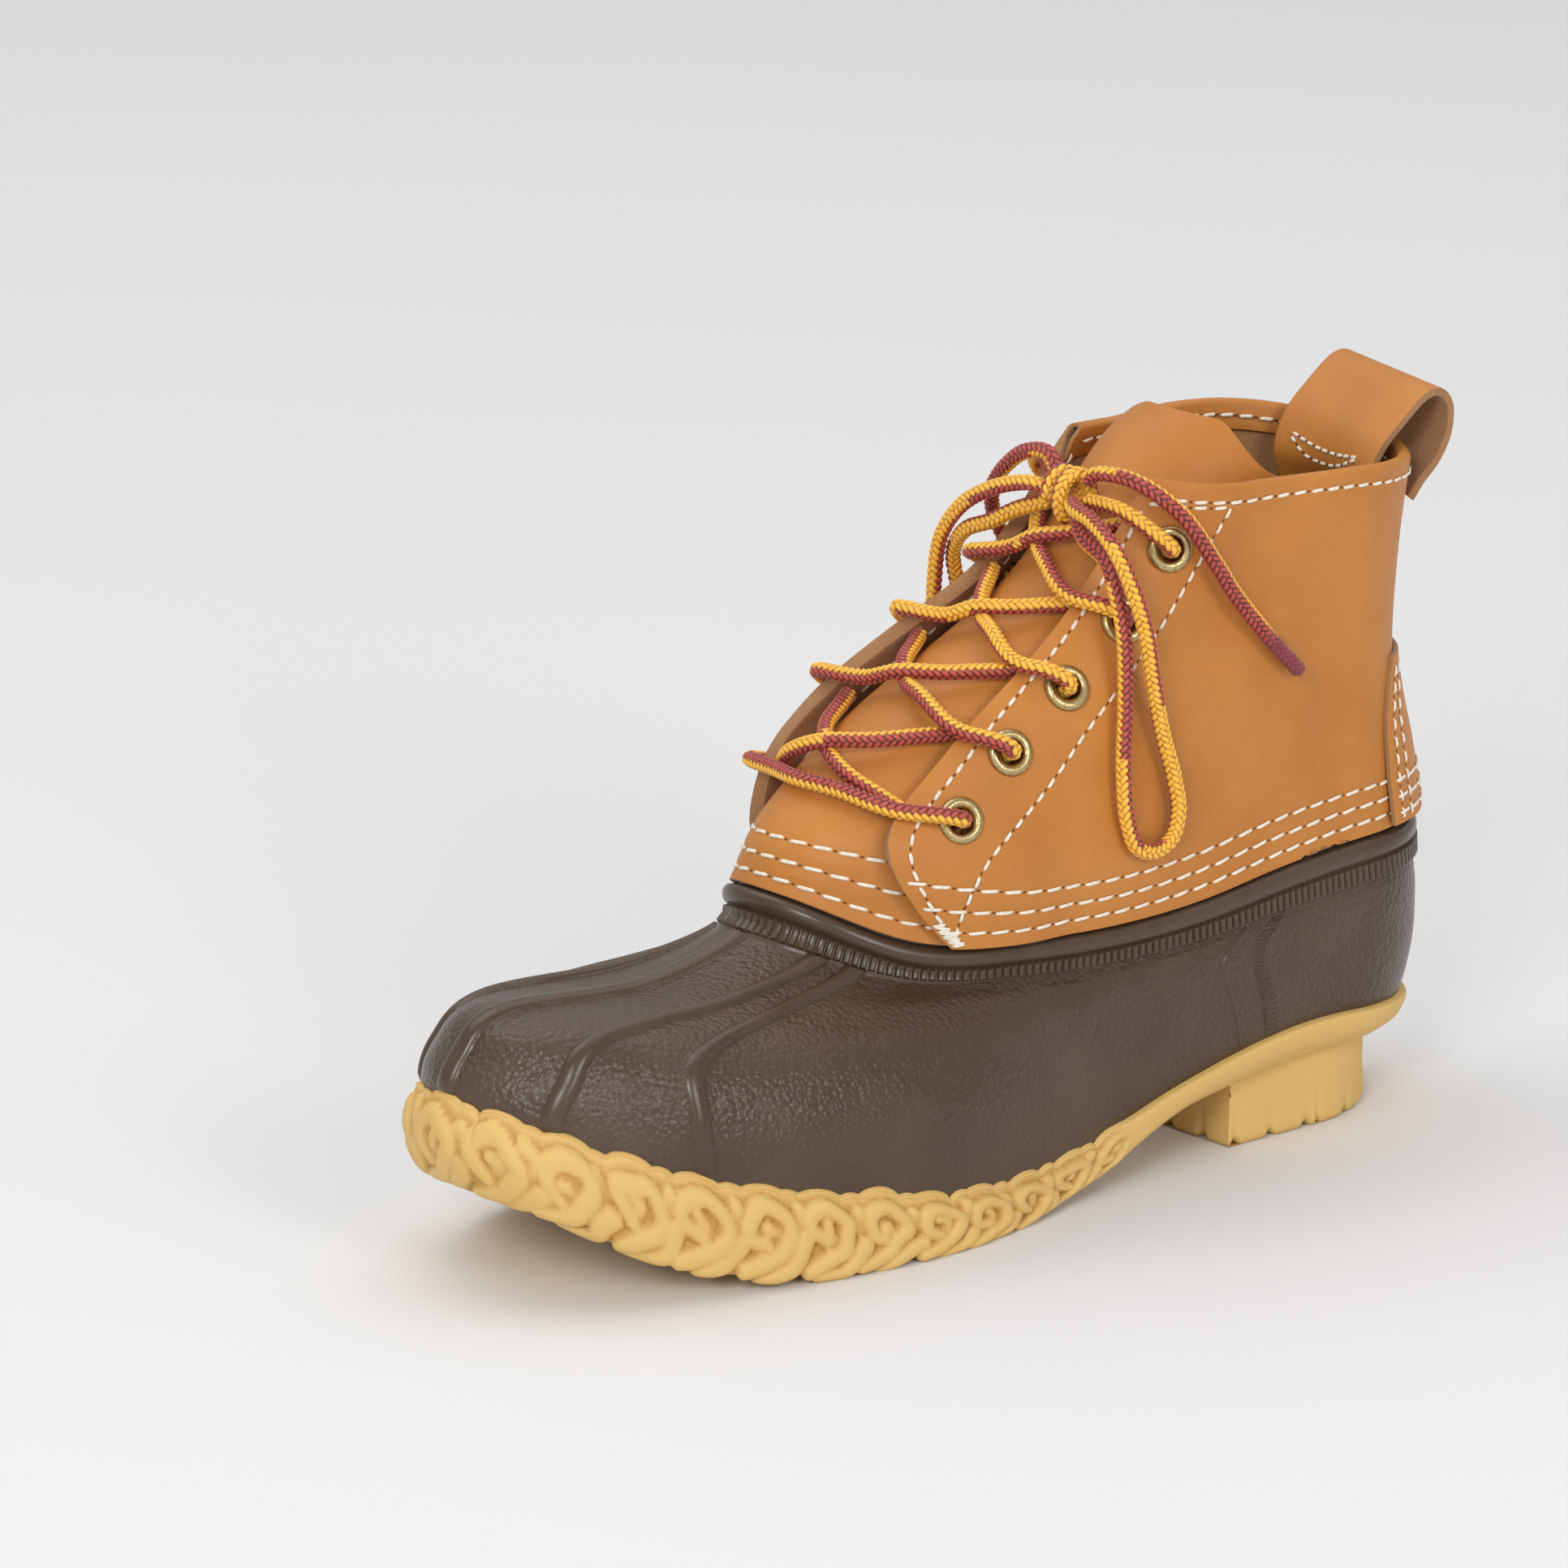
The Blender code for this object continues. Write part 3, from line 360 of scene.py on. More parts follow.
    def throat_edge(self, level: Points, side: Side) -> Points:
        """Ring angle of a quarter's front edge."""
        ring = self.ring_at(level)
        throat = self.throat_at(level)
        edge = throat.edge_out if side is Side.OUT else throat.edge_in
        return side.value * self.angle_at(edge, ring.x_back, ring.x_front)

    def inset_angle(self, level: float, side: Side, inset: float) -> float:
        """Ring angle on a quarter at a distance behind its front edge.

        Args:
            level: Level on the last.
            side: The quarter.
            inset: Distance back from the edge, along the leather.

        Returns:
            The signed ring angle.
        """
        edge = float(self.throat_edge(level, side))
        angles = np.linspace(edge, side.value * self.inset_to, self.inset_steps)
        line = self.quarter(angles, level)
        return float(np.interp(inset, reach_of(line), angles))

    def even_angles(self, level: float, count: int) -> Points:
        """Ring angles all round a level, at equal steps along it."""
        turns = np.linspace(0, 2 * pi, 12 * count + 1)
        reach = reach_of(self.face(turns, level))
        return np.interp(np.linspace(0, reach[-1], count, endpoint=False), reach, turns)

    def sole_edge(self, angles: Points) -> tuple[Points, Points]:
        """Feather edge of the sole, and its level outward normals."""
        level = np.zeros(angles.shape)
        normal = self.outward(self.face, angles, level) * (1, 1, 0)
        return self.face(angles, level), unit(normal)

    def tread_height(self, along: Points) -> Points:
        """Height of the tread along the sole, flat on the floor under the ball."""
        return np.maximum(through(self.rise_stations, self.underside[:-1], along), 0.0)

    def sole_height(self, x: Points) -> Points:
        """Height of the tread at x."""
        ring = self.rings[0]
        return self.tread_height((np.asarray(x) - ring.x_back) / (ring.x_front - ring.x_back))

    def spine(self, angles: Points, height: Points, inset: float) -> Points:
        """Centre line of the sole, short of its ends by an inset."""
        ring = self.rings[0]
        along = (1 - np.cos(angles)) / 2
        x = ring.x_back + inset + (ring.x_front - ring.x_back - 2 * inset) * along
        return np.stack([x, ring.toe_y * between(self.drift_from, 1.0, along), height], axis=-1)


LAST = BootLast()


def clear() -> None:
    """Leave edit mode and deselect everything."""
    if bpy.context.object and bpy.context.object.mode != "OBJECT":
        bpy.ops.object.mode_set(mode="OBJECT")
    bpy.ops.object.select_all(action="DESELECT")


def pick(made: Piece) -> None:
    """Select one object alone and make it active."""
    clear()
    made.select_set(True)
    bpy.context.view_layer.objects.active = made


def put_in(name: str, data: bpy.types.ID) -> Piece:
    """New object of that data in the scene."""
    made = bpy.data.objects.new(name, data)
    bpy.context.scene.collection.objects.link(made)
    return made


@contextmanager
def editing(made: Piece) -> Iterator[None]:
    """Edit mode with all of one object selected."""
    pick(made)
    bpy.ops.object.mode_set(mode="EDIT")
    bpy.ops.mesh.select_all(action="SELECT")
    yield
    bpy.ops.object.mode_set(mode="OBJECT")


def drape(name: str, points: Points, wrap: bool = False, flip: bool = False, **values: Points) -> Piece:
    """Lay a grid over rows of points.

    Args:
        name: Name of the new object.
        points: Rows and columns of places, in millimetres of the last's frame.
        wrap: Whether the last column joins the first.
        flip: Whether the faces turn over.
        values: Numbers for each point, kept as attributes of their names.

    Returns:
        The new object, with the grid's own UV map.
    """
    clear()
    rows, columns = points.shape[:2]
    steps = columns if wrap else columns - 1
    bpy.ops.mesh.primitive_grid_add(x_subdivisions=steps, y_subdivisions=rows - 1, size=2.0)
    made = bpy.context.object
    made.name = made.data.name = name
    place = np.empty(len(made.data.vertices) * 3)
    made.data.vertices.foreach_get("co", place)
    place = place.reshape(-1, 3)
    column = np.rint((place[:, 0] + 1) / 2 * steps).astype(int)
    row = np.rint((place[:, 1] + 1) / 2 * (rows - 1)).astype(int)
    column = (steps - column if flip else column) % columns
    made.data.vertices.foreach_set("co", LAST.world(points[row, column]).ravel())
    for key, value in values.items():
        kept = made.data.attributes.new(key, "FLOAT", "POINT")
        kept.data.foreach_set("value", np.broadcast_to(value, (rows, columns))[row, column])
    made.data.update()
    if wrap:
        weld(made)
    return made


def weld(made: Piece) -> None:
    """Merge the points that lie on each other and clear what collapses."""
    with editing(made):
        bpy.ops.mesh.remove_doubles(threshold=MERGE)
        bpy.ops.mesh.dissolve_degenerate(threshold=MERGE)


def face_out(made: Piece) -> None:
    """Turn the faces of a closed mesh outwards."""
    with editing(made):
        bpy.ops.mesh.normals_make_consistent(inside=False)


def apply(made: Piece, kind: str, **settings: object) -> None:
    """Add a modifier with its settings and apply it."""
    pick(made)
    bpy.ops.object.modifier_add(type=kind)
    modifier = made.modifiers[-1]
    for key, value in settings.items():
        setattr(modifier, key, value)
    bpy.ops.object.modifier_apply(modifier=modifier.name)


def thicken(made: Piece, wall: float, share: str | None = None,
            offset: float = -1.0, edge: float = 0.0) -> None:
    """Give a sheet its wall, with the next material slots on its rim and its inner face.

    Args:
        made: The sheet.
        wall: Full thickness in millimetres.
        share: Name of the attribute with each point's share of the thickness.
        offset: Solidify's offset: -1 grows the wall inwards.
        edge: Rounding of the cut edges in millimetres.
    """
    for _ in range(2):
        made.data.materials.append(None)
    settings = {"thickness": wall * MM, "offset": offset, "use_even_offset": True,
                "material_offset": 1, "material_offset_rim": 1}
    if share is not None:
        group = made.vertex_groups.new(name=share)
        shares = np.empty(len(made.data.vertices))
        made.data.attributes[share].data.foreach_get("value", shares)
        shares = np.round(shares, 2)
        for value in np.unique(shares):
            group.add(np.flatnonzero(shares == value).tolist(), float(value), "REPLACE")
        settings["vertex_group"] = share
    apply(made, "SOLIDIFY", **settings)
    if edge:
        apply(made, "BEVEL", width=edge * MM, segments=2, limit_method="ANGLE",
              angle_limit=CUT_ANGLE, use_clamp_overlap=True, material=-1)


def from_arrays(name: str, points: Points, faces: list) -> Piece:
    """Many small shapes as one mesh, from points in millimetres of the last's frame."""
    mesh = bpy.data.meshes.new(name)
    mesh.from_pydata(LAST.world(points.reshape(-1, 3)).tolist(), [], faces)
    return put_in(name, mesh)


def join(name: str, parts: Sequence[Piece]) -> Piece:
    """Join meshes into the first of them."""
    pick(parts[0])
    for part in parts[1:]:
        part.select_set(True)
    bpy.ops.object.join()
    parts[0].name = parts[0].data.name = name
    return parts[0]


def smooth(made: Piece, keep: Sharp) -> None:
    """Shade smooth, with the sharp edges kept."""
    pick(made)
    bpy.ops.object.shade_smooth_by_angle(angle=radians(keep.value))


def deliver(made: Piece, slot: str, materials: Sequence[Material], *nodes: str) -> None:
    """Dress a finished piece and hand it to the frame.

    Args:
        made: The piece.
        slot: Material slot of the record; not used.
        materials: Its materials, in the order of its faces' slots.
        nodes: Nodes of the frame that it stands for.
    """
    while len(made.data.materials) < len(materials):
        made.data.materials.append(None)
    for number, material in enumerate(materials):
        made.data.materials[number] = material
    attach(made, "root")
    if nodes:
        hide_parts(*nodes)
    LOG.info("%s: %d faces", made.name, len(made.data.polygons))


def deliver_leather(made: Piece, finishes: Finishes, node: str) -> None:
    """Hand over a piece of leather, with suede on its raw faces."""
    smooth(made, Sharp.LEATHER)
    deliver(made, "tan_leather", [finishes.leather, finishes.suede], node)


class Signal:
    """One output of a shader tree, with arithmetic that adds Math nodes."""

    def __init__(self, board: ShaderBoard, socket: bpy.types.NodeSocket) -> None:
        """Keep the board and the socket."""
        self.board = board
        self.socket = socket

    def math(self, operation: str, *others: Signal | float) -> Signal:
        """Math node of this signal and others."""
        values = dict(enumerate((self, *others)))
        return self.board.add("ShaderNodeMath", {"operation": operation}, values)

    def __add__(self, other: Signal | float) -> Signal:
        """Sum."""
        return self.math("ADD", other)

    __radd__ = __add__

    def __sub__(self, other: Signal | float) -> Signal:
        """Difference."""
        return self.math("SUBTRACT", other)

    def __rsub__(self, other: float) -> Signal:
        """Difference from a number."""
        return self.board.add("ShaderNodeMath", {"operation": "SUBTRACT"}, {0: other, 1: self})

    def __mul__(self, other: Signal | float) -> Signal:
        """Product."""
        return self.math("MULTIPLY", other)

    __rmul__ = __mul__

    def step(self, low: float, high: float) -> Signal:
        """Smooth step of this signal from 0 at low to 1 at high."""
        return self.board.add("ShaderNodeMapRange", {"interpolation_type": "SMOOTHSTEP"},
                              {"Value": self, "From Min": low, "From Max": high})


Value = Signal | float | tuple


class ShaderBoard:
    """Node tree of one material, with its Principled shader."""

    def __init__(self, name: str) -> None:
        """Start a material of that name."""
        self.material = bpy.data.materials.new(name)
        self.material.use_nodes = True
        self.tree = self.material.node_tree
        self.shader = self.tree.nodes["Principled BSDF"]

    def add(self, kind: str, settings: dict | None = None, sockets: dict | None = None,
            output: str | int = 0) -> Signal:
        """Add any node.

        Args:
            kind: Node type.
            settings: Properties, set first.
            sockets: Values or signals by socket name or number.
            output: Output to give back.

        Returns:
            That output as a signal.
        """
        node = self.tree.nodes.new(kind)
        for key, value in (settings or {}).items():
            setattr(node, key, value)
        for key, value in (sockets or {}).items():
            self.feed(node.inputs[key], value)
        return Signal(self, node.outputs[output])

    def feed(self, socket: bpy.types.NodeSocket, value: Value) -> None:
        """Link a signal to a socket, or set its own value."""
        if isinstance(value, Signal):
            self.tree.links.new(value.socket, socket)
        elif isinstance(value, tuple) and socket.type == "RGBA":
            socket.default_value = (*value, 1.0)
        else:
            socket.default_value = value

    def place(self) -> Signal:
        """Object coordinates."""
        return self.add("ShaderNodeTexCoord", output="Object")

    def noise(self, size: float, detail: float = 2.0, rough: float = 0.5) -> Signal:
        """Noise from 0 to 1 with features of a size in millimetres."""
        return self.add("ShaderNodeTexNoise", None, {
            "Vector": self.place(), "Scale": 1 / (size * MM), "Detail": detail, "Roughness": rough})

    def cells(self, size: float, smooth: float, at: Signal | None = None) -> Signal:
        """Distance to scattered soft cells of a size in millimetres."""
        return self.add("ShaderNodeTexVoronoi", {"feature": "SMOOTH_F1"}, {
            "Vector": at or self.place(), "Scale": 1 / (size * MM), "Smoothness": smooth}, "Distance")

    def warped(self, shift: float, size: float) -> Signal:
        """Object coordinates pushed about by noise, both lengths in millimetres."""
        wobble = self.add("ShaderNodeTexNoise", None, {"Vector": self.place(), "Scale": 1 / (size * MM)}, 1)
        return self.add("ShaderNodeVectorMath", {"operation": "MULTIPLY_ADD"},
                        {0: wobble, 1: (shift * MM,) * 3, 2: self.place()})

    def attribute(self, name: str) -> Signal:
        """Number kept on the mesh."""
        return self.add("ShaderNodeAttribute", {"attribute_name": name}, output="Fac")

    def blend(self, share: Value, first: Value, second: Value) -> Signal:
        """Mix of two colours."""
        return self.add("ShaderNodeMix", {"data_type": "RGBA"}, {0: share, 6: first, 7: second}, 2)

    def relief(self, height: Signal, depth: float) -> Signal:
        """Normal of a bump of a depth in millimetres."""
        return self.add("ShaderNodeBump", None, {"Height": height, "Distance": depth * MM})

    def dress(self, **sockets: Value) -> Material:
        """Feed the shader by socket names with underscores for spaces."""
        for key, value in sockets.items():
            self.feed(self.shader.inputs[key.replace("_", " ")], value)
        return self.material


@dataclass(frozen=True)
class TanLeather:
    """Smooth oiled leather with fine pores and soft mottling."""

    pale: tuple = (0.57, 0.228, 0.046)
    deep: tuple = (0.46, 0.168, 0.030)
    pore_size: float = 0.55
    mottle_size: float = 38.0

    def material(self) -> Material:
        """Build the leather."""
        board = ShaderBoard("tan_leather")
        mottle = board.noise(self.mottle_size, 3.0).step(0.3, 0.7)
        grain = board.noise(1.6, 4.0, 0.6)
        colour = board.blend(mottle * 0.6 + grain * 0.4, self.deep, self.pale)
        pores = board.cells(self.pore_size, smooth=0.35)
        height = pores * 0.6 + grain * 0.7
        return board.dress(Base_Color=colour, Roughness=0.40 + 0.16 * grain,
                           Normal=board.relief(height, 0.09), Specular_IOR_Level=0.32)


@dataclass(frozen=True)
class Suede:
    """Raw flesh side and cut edges of the leather."""

    pale: tuple = (0.52, 0.27, 0.105)
    deep: tuple = (0.20, 0.082, 0.028)

    def material(self) -> Material:
        """Build the suede."""
        board = ShaderBoard("suede")
        nap = board.noise(0.8, 5.0, 0.7)
        patch = board.noise(9.0, 2.0)
        colour = board.blend(nap * 0.65 + patch * 0.35, self.deep, self.pale)
        return board.dress(Base_Color=colour, Roughness=0.95, Normal=board.relief(nap, 0.35),
                           Sheen_Weight=0.25, Sheen_Roughness=0.5)


@dataclass(frozen=True)
class DarkRubber:
    """Dark brown moulded rubber with a pebbled skin and a soft gloss."""

    base: tuple = (0.064, 0.037, 0.021)
    dusty: tuple = (0.085, 0.053, 0.034)
    pebble: float = 1.5
    name: str = "dark_rubber"
    depth: float = 0.32

    def material(self) -> Material:
        """Build the rubber."""
        board = ShaderBoard(self.name)
        pebbles = board.cells(self.pebble, smooth=0.12, at=board.warped(0.5, 0.9))
        fine = board.noise(0.5, 3.0)
        dust = board.noise(26.0, 4.0).step(0.35, 0.75)
        height = ((1 - pebbles) + fine * 0.3) * (1 - board.attribute("plain"))
        return board.dress(Base_Color=board.blend(dust, self.base, self.dusty),
                           Roughness=0.22 + 0.12 * dust + 0.1 * fine,
                           Normal=board.relief(height, self.depth), Specular_IOR_Level=0.5)


@dataclass(frozen=True)
class GumRubber:
    """Matt gum rubber, with painted shade in its creases."""

    base: tuple = (0.72, 0.475, 0.155)
    # deep: the colour of the painted shade in the creases, and of the random darker cloud.
    deep: tuple = (0.50, 0.265, 0.058)

    def material(self) -> Material:
        """Build the gum rubber."""
        board = ShaderBoard("gum_rubber")
        cloud = board.noise(14.0, 3.0)
        fine = board.noise(0.9, 3.0)
        crease = board.attribute("crease")
        # Painted shade: the creases between the links take the deep colour; the cloud adds random tone.
        colour = board.blend(crease * 0.75 + 0.22 * cloud, self.base, self.deep)
        return board.dress(Base_Color=colour, Roughness=0.50 + 0.16 * cloud,
                           Normal=board.relief(fine + cloud * 0.5, 0.06), Specular_IOR_Level=0.4)


@dataclass(frozen=True)
class Thread:
    """Waxed sewing thread with a twist along it."""

    base: tuple = (0.90, 0.85, 0.75)
    shade: tuple = (0.66, 0.58, 0.46)

    def material(self) -> Material:
        """Build the thread."""
        board = ShaderBoard("white_thread")
        strands = board.noise(0.45, 3.0, 0.6)
        colour = board.blend(strands.step(0.3, 0.62), self.shade, self.base)
        return board.dress(Base_Color=colour, Roughness=0.7, Normal=board.relief(strands, 0.12))


@dataclass(frozen=True)
class NeedleHoleShade:
    """Painted shade of the needle holes: dark marks on the leather."""

    base: tuple = (0.10, 0.036, 0.012)
    rim: tuple = (0.17, 0.064, 0.020)

    def material(self) -> Material:
        """Build the painted shade of the holes."""
        board = ShaderBoard("needle_hole")
        return board.dress(Base_Color=board.blend(board.noise(0.6), self.base, self.rim), Roughness=0.9)


@dataclass(frozen=True)
class Brass:
    """Antique brass, polished in some places and dull with patina in others."""

    bright: tuple = (0.58, 0.46, 0.23)
    patina: tuple = (0.32, 0.23, 0.095)

    def material(self) -> Material:
        """Build the brass."""
        board = ShaderBoard("eyelet_brass")
        wear = board.noise(0.6, 4.0, 0.6).step(0.35, 0.7)
        return board.dress(Base_Color=board.blend(wear, self.bright, self.patina), Metallic=1.0,
                           Roughness=0.24 + 0.22 * wear, Normal=board.relief(board.noise(0.5, 3.0), 0.03))


@dataclass(frozen=True)
class Braid:
    """Round braid of two yarns: the mesh says which plait is which, and how high each plait's crown is, for
    painted shade in the crevices between plaits.
    """

    red: tuple = (0.56, 0.085, 0.055)
    red_crevice_shade: tuple = (0.060, 0.006, 0.008)
    gold: tuple = (1.0, 0.54, 0.050)
    gold_crevice_shade: tuple = (0.36, 0.105, 0.012)
    tip: tuple = (0.20, 0.030, 0.050)

    def material(self) -> Material:
        """Build the braid."""
        board = ShaderBoard("lace")
        yarn = board.attribute("yarn")
        crown = board.attribute("crown")
        fibre = board.noise(0.35, 3.0, 0.6)
        # Painted shade: each yarn darkens towards its crevice shade colour where the plait's crown is low.
        lit = crown.step(0.15, 0.80) * 0.9 + fibre * 0.1
        red = board.blend(crown.step(0.32, 0.92) * 0.85 + fibre * 0.15, self.red_crevice_shade, self.red)
        gold = board.blend(lit, self.gold_crevice_shade, self.gold)
        plaited = board.blend(yarn.step(0.42, 0.58), red, gold)
        colour = board.blend(board.attribute("melted") * 0.8, plaited, self.tip)
        return board.dress(Base_Color=colour, Roughness=0.50,
                           Normal=board.relief(fibre, 0.10), Sheen_Weight=0.15, Sheen_Roughness=0.4)


@dataclass(frozen=True)
class Footbed:
    """Felted cloth of the footbed."""

    pale: tuple = (0.36, 0.25, 0.15)
    deep: tuple = (0.20, 0.13, 0.075)

    def material(self) -> Material:
        """Build the felt."""
        board = ShaderBoard("footbed")
        nap = board.noise(0.9, 5.0, 0.7)
        return board.dress(Base_Color=board.blend(nap, self.deep, self.pale), Roughness=0.95,
                           Normal=board.relief(nap, 0.3))


@dataclass(frozen=True)
class FloorPaper:
    """Pale seamless paper of the floor."""

    base: tuple = (0.80, 0.80, 0.80)
    shade: tuple = (0.79, 0.79, 0.79)

    def material(self) -> Material:
        """Build the paper."""
        board = ShaderBoard("floor_paper")
        return board.dress(Base_Color=board.blend(board.noise(300.0), self.base, self.shade), Roughness=0.75)


class Finishes:
    """The boot's materials, made once."""

    def __init__(self) -> None:
        """Build every finish."""
        self.leather = TanLeather().material()
        self.suede = Suede().material()
        self.rubber = DarkRubber().material()
        self.plain_rubber = DarkRubber(name="dark_rubber_plain", depth=0.05).material()
        self.gum = GumRubber().material()
        self.thread = Thread().material()
        # Painted shade: dark marks that stand for the shade inside the needle holes.
        self.hole = NeedleHoleShade().material()
        self.brass = Brass().material()
        self.lace = Braid().material()
        self.felt = Footbed().material()
        self.paper = FloorPaper().material()


class Lamp(NamedTuple):
    """Soft white area lamp: place, what it looks at, width and power, in metres and watts."""

    name: str
    place: tuple
    target: tuple
    width: float
    power: float


@dataclass(frozen=True)
class Studio:
    """Camera at the photograph's angle, pale floor and soft lamps. The eye is in the last's frame."""

    eye: tuple = (1164.7, 1161.7, 507.5)
    elevation: float = 14.75
    heading: float = 140.3
    lens: float = 148.27
    sensor: float = 36.0
    floor_size: float = 14.0
    sky: tuple = (1.0, 1.0, 1.0)
    sky_strength: float = 0.52
    lamps: tuple[Lamp, ...] = (
        Lamp("key", (0.9, -1.5, 3.2), (0.0, 0.0, 0.05), 2.6, 26.0),
        Lamp("top", (-1.2, -0.9, 4.4), (-0.4, -0.4, 0.0), 4.6, 52.0),
        Lamp("front", (2.1, 1.4, 1.35), (0.05, 0.0, 0.07), 0.8, 26.0),
        Lamp("side", (0.3, 2.8, 1.3), (0.0, 0.0, 0.10), 1.0, 23.0),
    )

    def build(self, finishes: Finishes) -> None:
        """Set the camera, the floor and the light."""
        self._camera()
        clear()
        bpy.ops.mesh.primitive_plane_add(size=self.floor_size)
        floor = bpy.context.object
        floor.name = "floor"
        floor.data.materials.append(finishes.paper)
        for lamp in self.lamps:
            self._lamp(lamp)
        self._sky()

    def _camera(self) -> None:
        """Camera at the photograph's place."""
        data = bpy.data.cameras.new("camera")
        data.lens = self.lens
        data.sensor_width = self.sensor
        camera = put_in("camera", data)
        camera.location = LAST.world(self.eye)
        camera.rotation_euler = (radians(90 - self.elevation), 0.0, radians(self.heading))
        bpy.context.scene.camera = camera

    def _lamp(self, lamp: Lamp) -> None:
        """One soft lamp turned to its target."""
        data = bpy.data.lights.new(lamp.name, "AREA")
        data.size = lamp.width
        data.energy = lamp.power
        made = put_in(lamp.name, data)
        made.location = lamp.place
        aim = Vector(lamp.target) - Vector(lamp.place)
        made.rotation_euler = aim.to_track_quat("-Z", "Y").to_euler()

    def _sky(self) -> None:
        """Even light from all round."""
        world = bpy.data.worlds.new("studio")
        world.use_nodes = True
        background = world.node_tree.nodes["Background"]
        background.inputs["Color"].default_value = (*self.sky, 1.0)
        background.inputs["Strength"].default_value = self.sky_strength
        bpy.context.scene.world = world
        bpy.context.scene.view_settings.view_transform = "Standard"


@dataclass(frozen=True)
class Eyelets:
    """Brass eyelets of both quarters: places and sizes."""

    levels: tuple[float, ...] = (7.37, 8.0, 8.48, 8.97, 9.53)
    inset: float = 14.5
    hole: float = 3.0
    barrel: float = 3.5
    flange: float = 5.9
    rise: float = 1.5
    foot: float = -3.7
    seat_height: float = 0.05
    sides: int = 48
    roll_steps: int = 9
    roll_power: float = 0.8
    cut: float = 3.8
    cut_depth: float = 14.0

    def seat(self, number: int, side: Side) -> tuple[Points, Points]:
        """Centre of an eyelet on the quarter's outer face, and the normal there."""
        level = self.levels[number]
        edge = float(LAST.throat_edge(level, side))
        angle = edge - side.value * self.inset / LAST.pace(edge, level)
        return LAST.quarter(angle, level), LAST.outward(LAST.face, angle, level)

    def matrix(self, number: int, side: Side) -> Matrix:
        """Placement of an eyelet with its axis on the quarter's normal."""
        centre, normal = self.seat(number, side)
        turn = Vector(normal).to_track_quat("Z", "Y").to_matrix().to_4x4()
        return Matrix.Translation(Vector(LAST.world(centre))) @ turn

    def profile(self) -> list[tuple[float, float]]:
        """Radius and height from the barrel's foot, up inside, over the rolled flange and under it."""
        turn = np.linspace(0, pi, self.roll_steps)
        middle = (self.hole + self.flange) / 2
        half = (self.flange - self.hole) / 2
        heights = self.seat_height + self.rise * np.sin(turn) ** self.roll_power
        crown = zip(middle - half * np.cos(turn), heights)
        return [(self.hole, self.foot), *crown, (self.barrel, self.seat_height), (self.barrel, self.foot)]

    def build(self, finishes: Finishes) -> None:
        """Turn one ring and set a copy of it in every hole."""
        pattern = self._ring()
        for side in Side:
            for number in range(len(self.levels)):
                name = f"eyelet_{side.name.lower()}_{number + 1}"
                made = put_in(f"{name}_ring", pattern.data.copy())
                made.data.transform(self.matrix(number, side))
                deliver(made, "eyelet_brass", [finishes.brass], name)
        bpy.data.objects.remove(pattern)

    def _ring(self) -> Piece:
        """The ring at the origin: a circle drawn out along the profile."""
        clear()
        (radius, height), *rest = self.profile()
        bpy.ops.mesh.primitive_circle_add(vertices=self.sides, radius=radius * MM,
                                          location=(0, 0, height * MM))
        made = bpy.context.object
        bpy.ops.object.transform_apply(location=True)
        with editing(made):
            for next_radius, next_height in [*rest, (radius, height)]:
                climb = (next_height - height) * MM
                bpy.ops.mesh.extrude_edges_move(TRANSFORM_OT_translate={"value": (0, 0, climb)})
                grow = next_radius / radius
                bpy.ops.transform.resize(value=(grow, grow, 1.0), center_override=(0, 0, 0))
                radius, height = next_radius, next_height
        weld(made)
        face_out(made)
        smooth(made, Sharp.TURNED)
        return made

    def cutters(self) -> Piece:
        """All the holes of the leather as one cutter."""
        parts = []
        for side in Side:
            for number in range(len(self.levels)):
                clear()
                bpy.ops.mesh.primitive_cylinder_add(vertices=self.sides, radius=self.cut * MM,
                                                    depth=self.cut_depth * MM)
                made = bpy.context.object
                made.data.transform(self.matrix(number, side))
                parts.append(made)
        return join("eyelet_cutters", parts)


EYELETS = Eyelets()


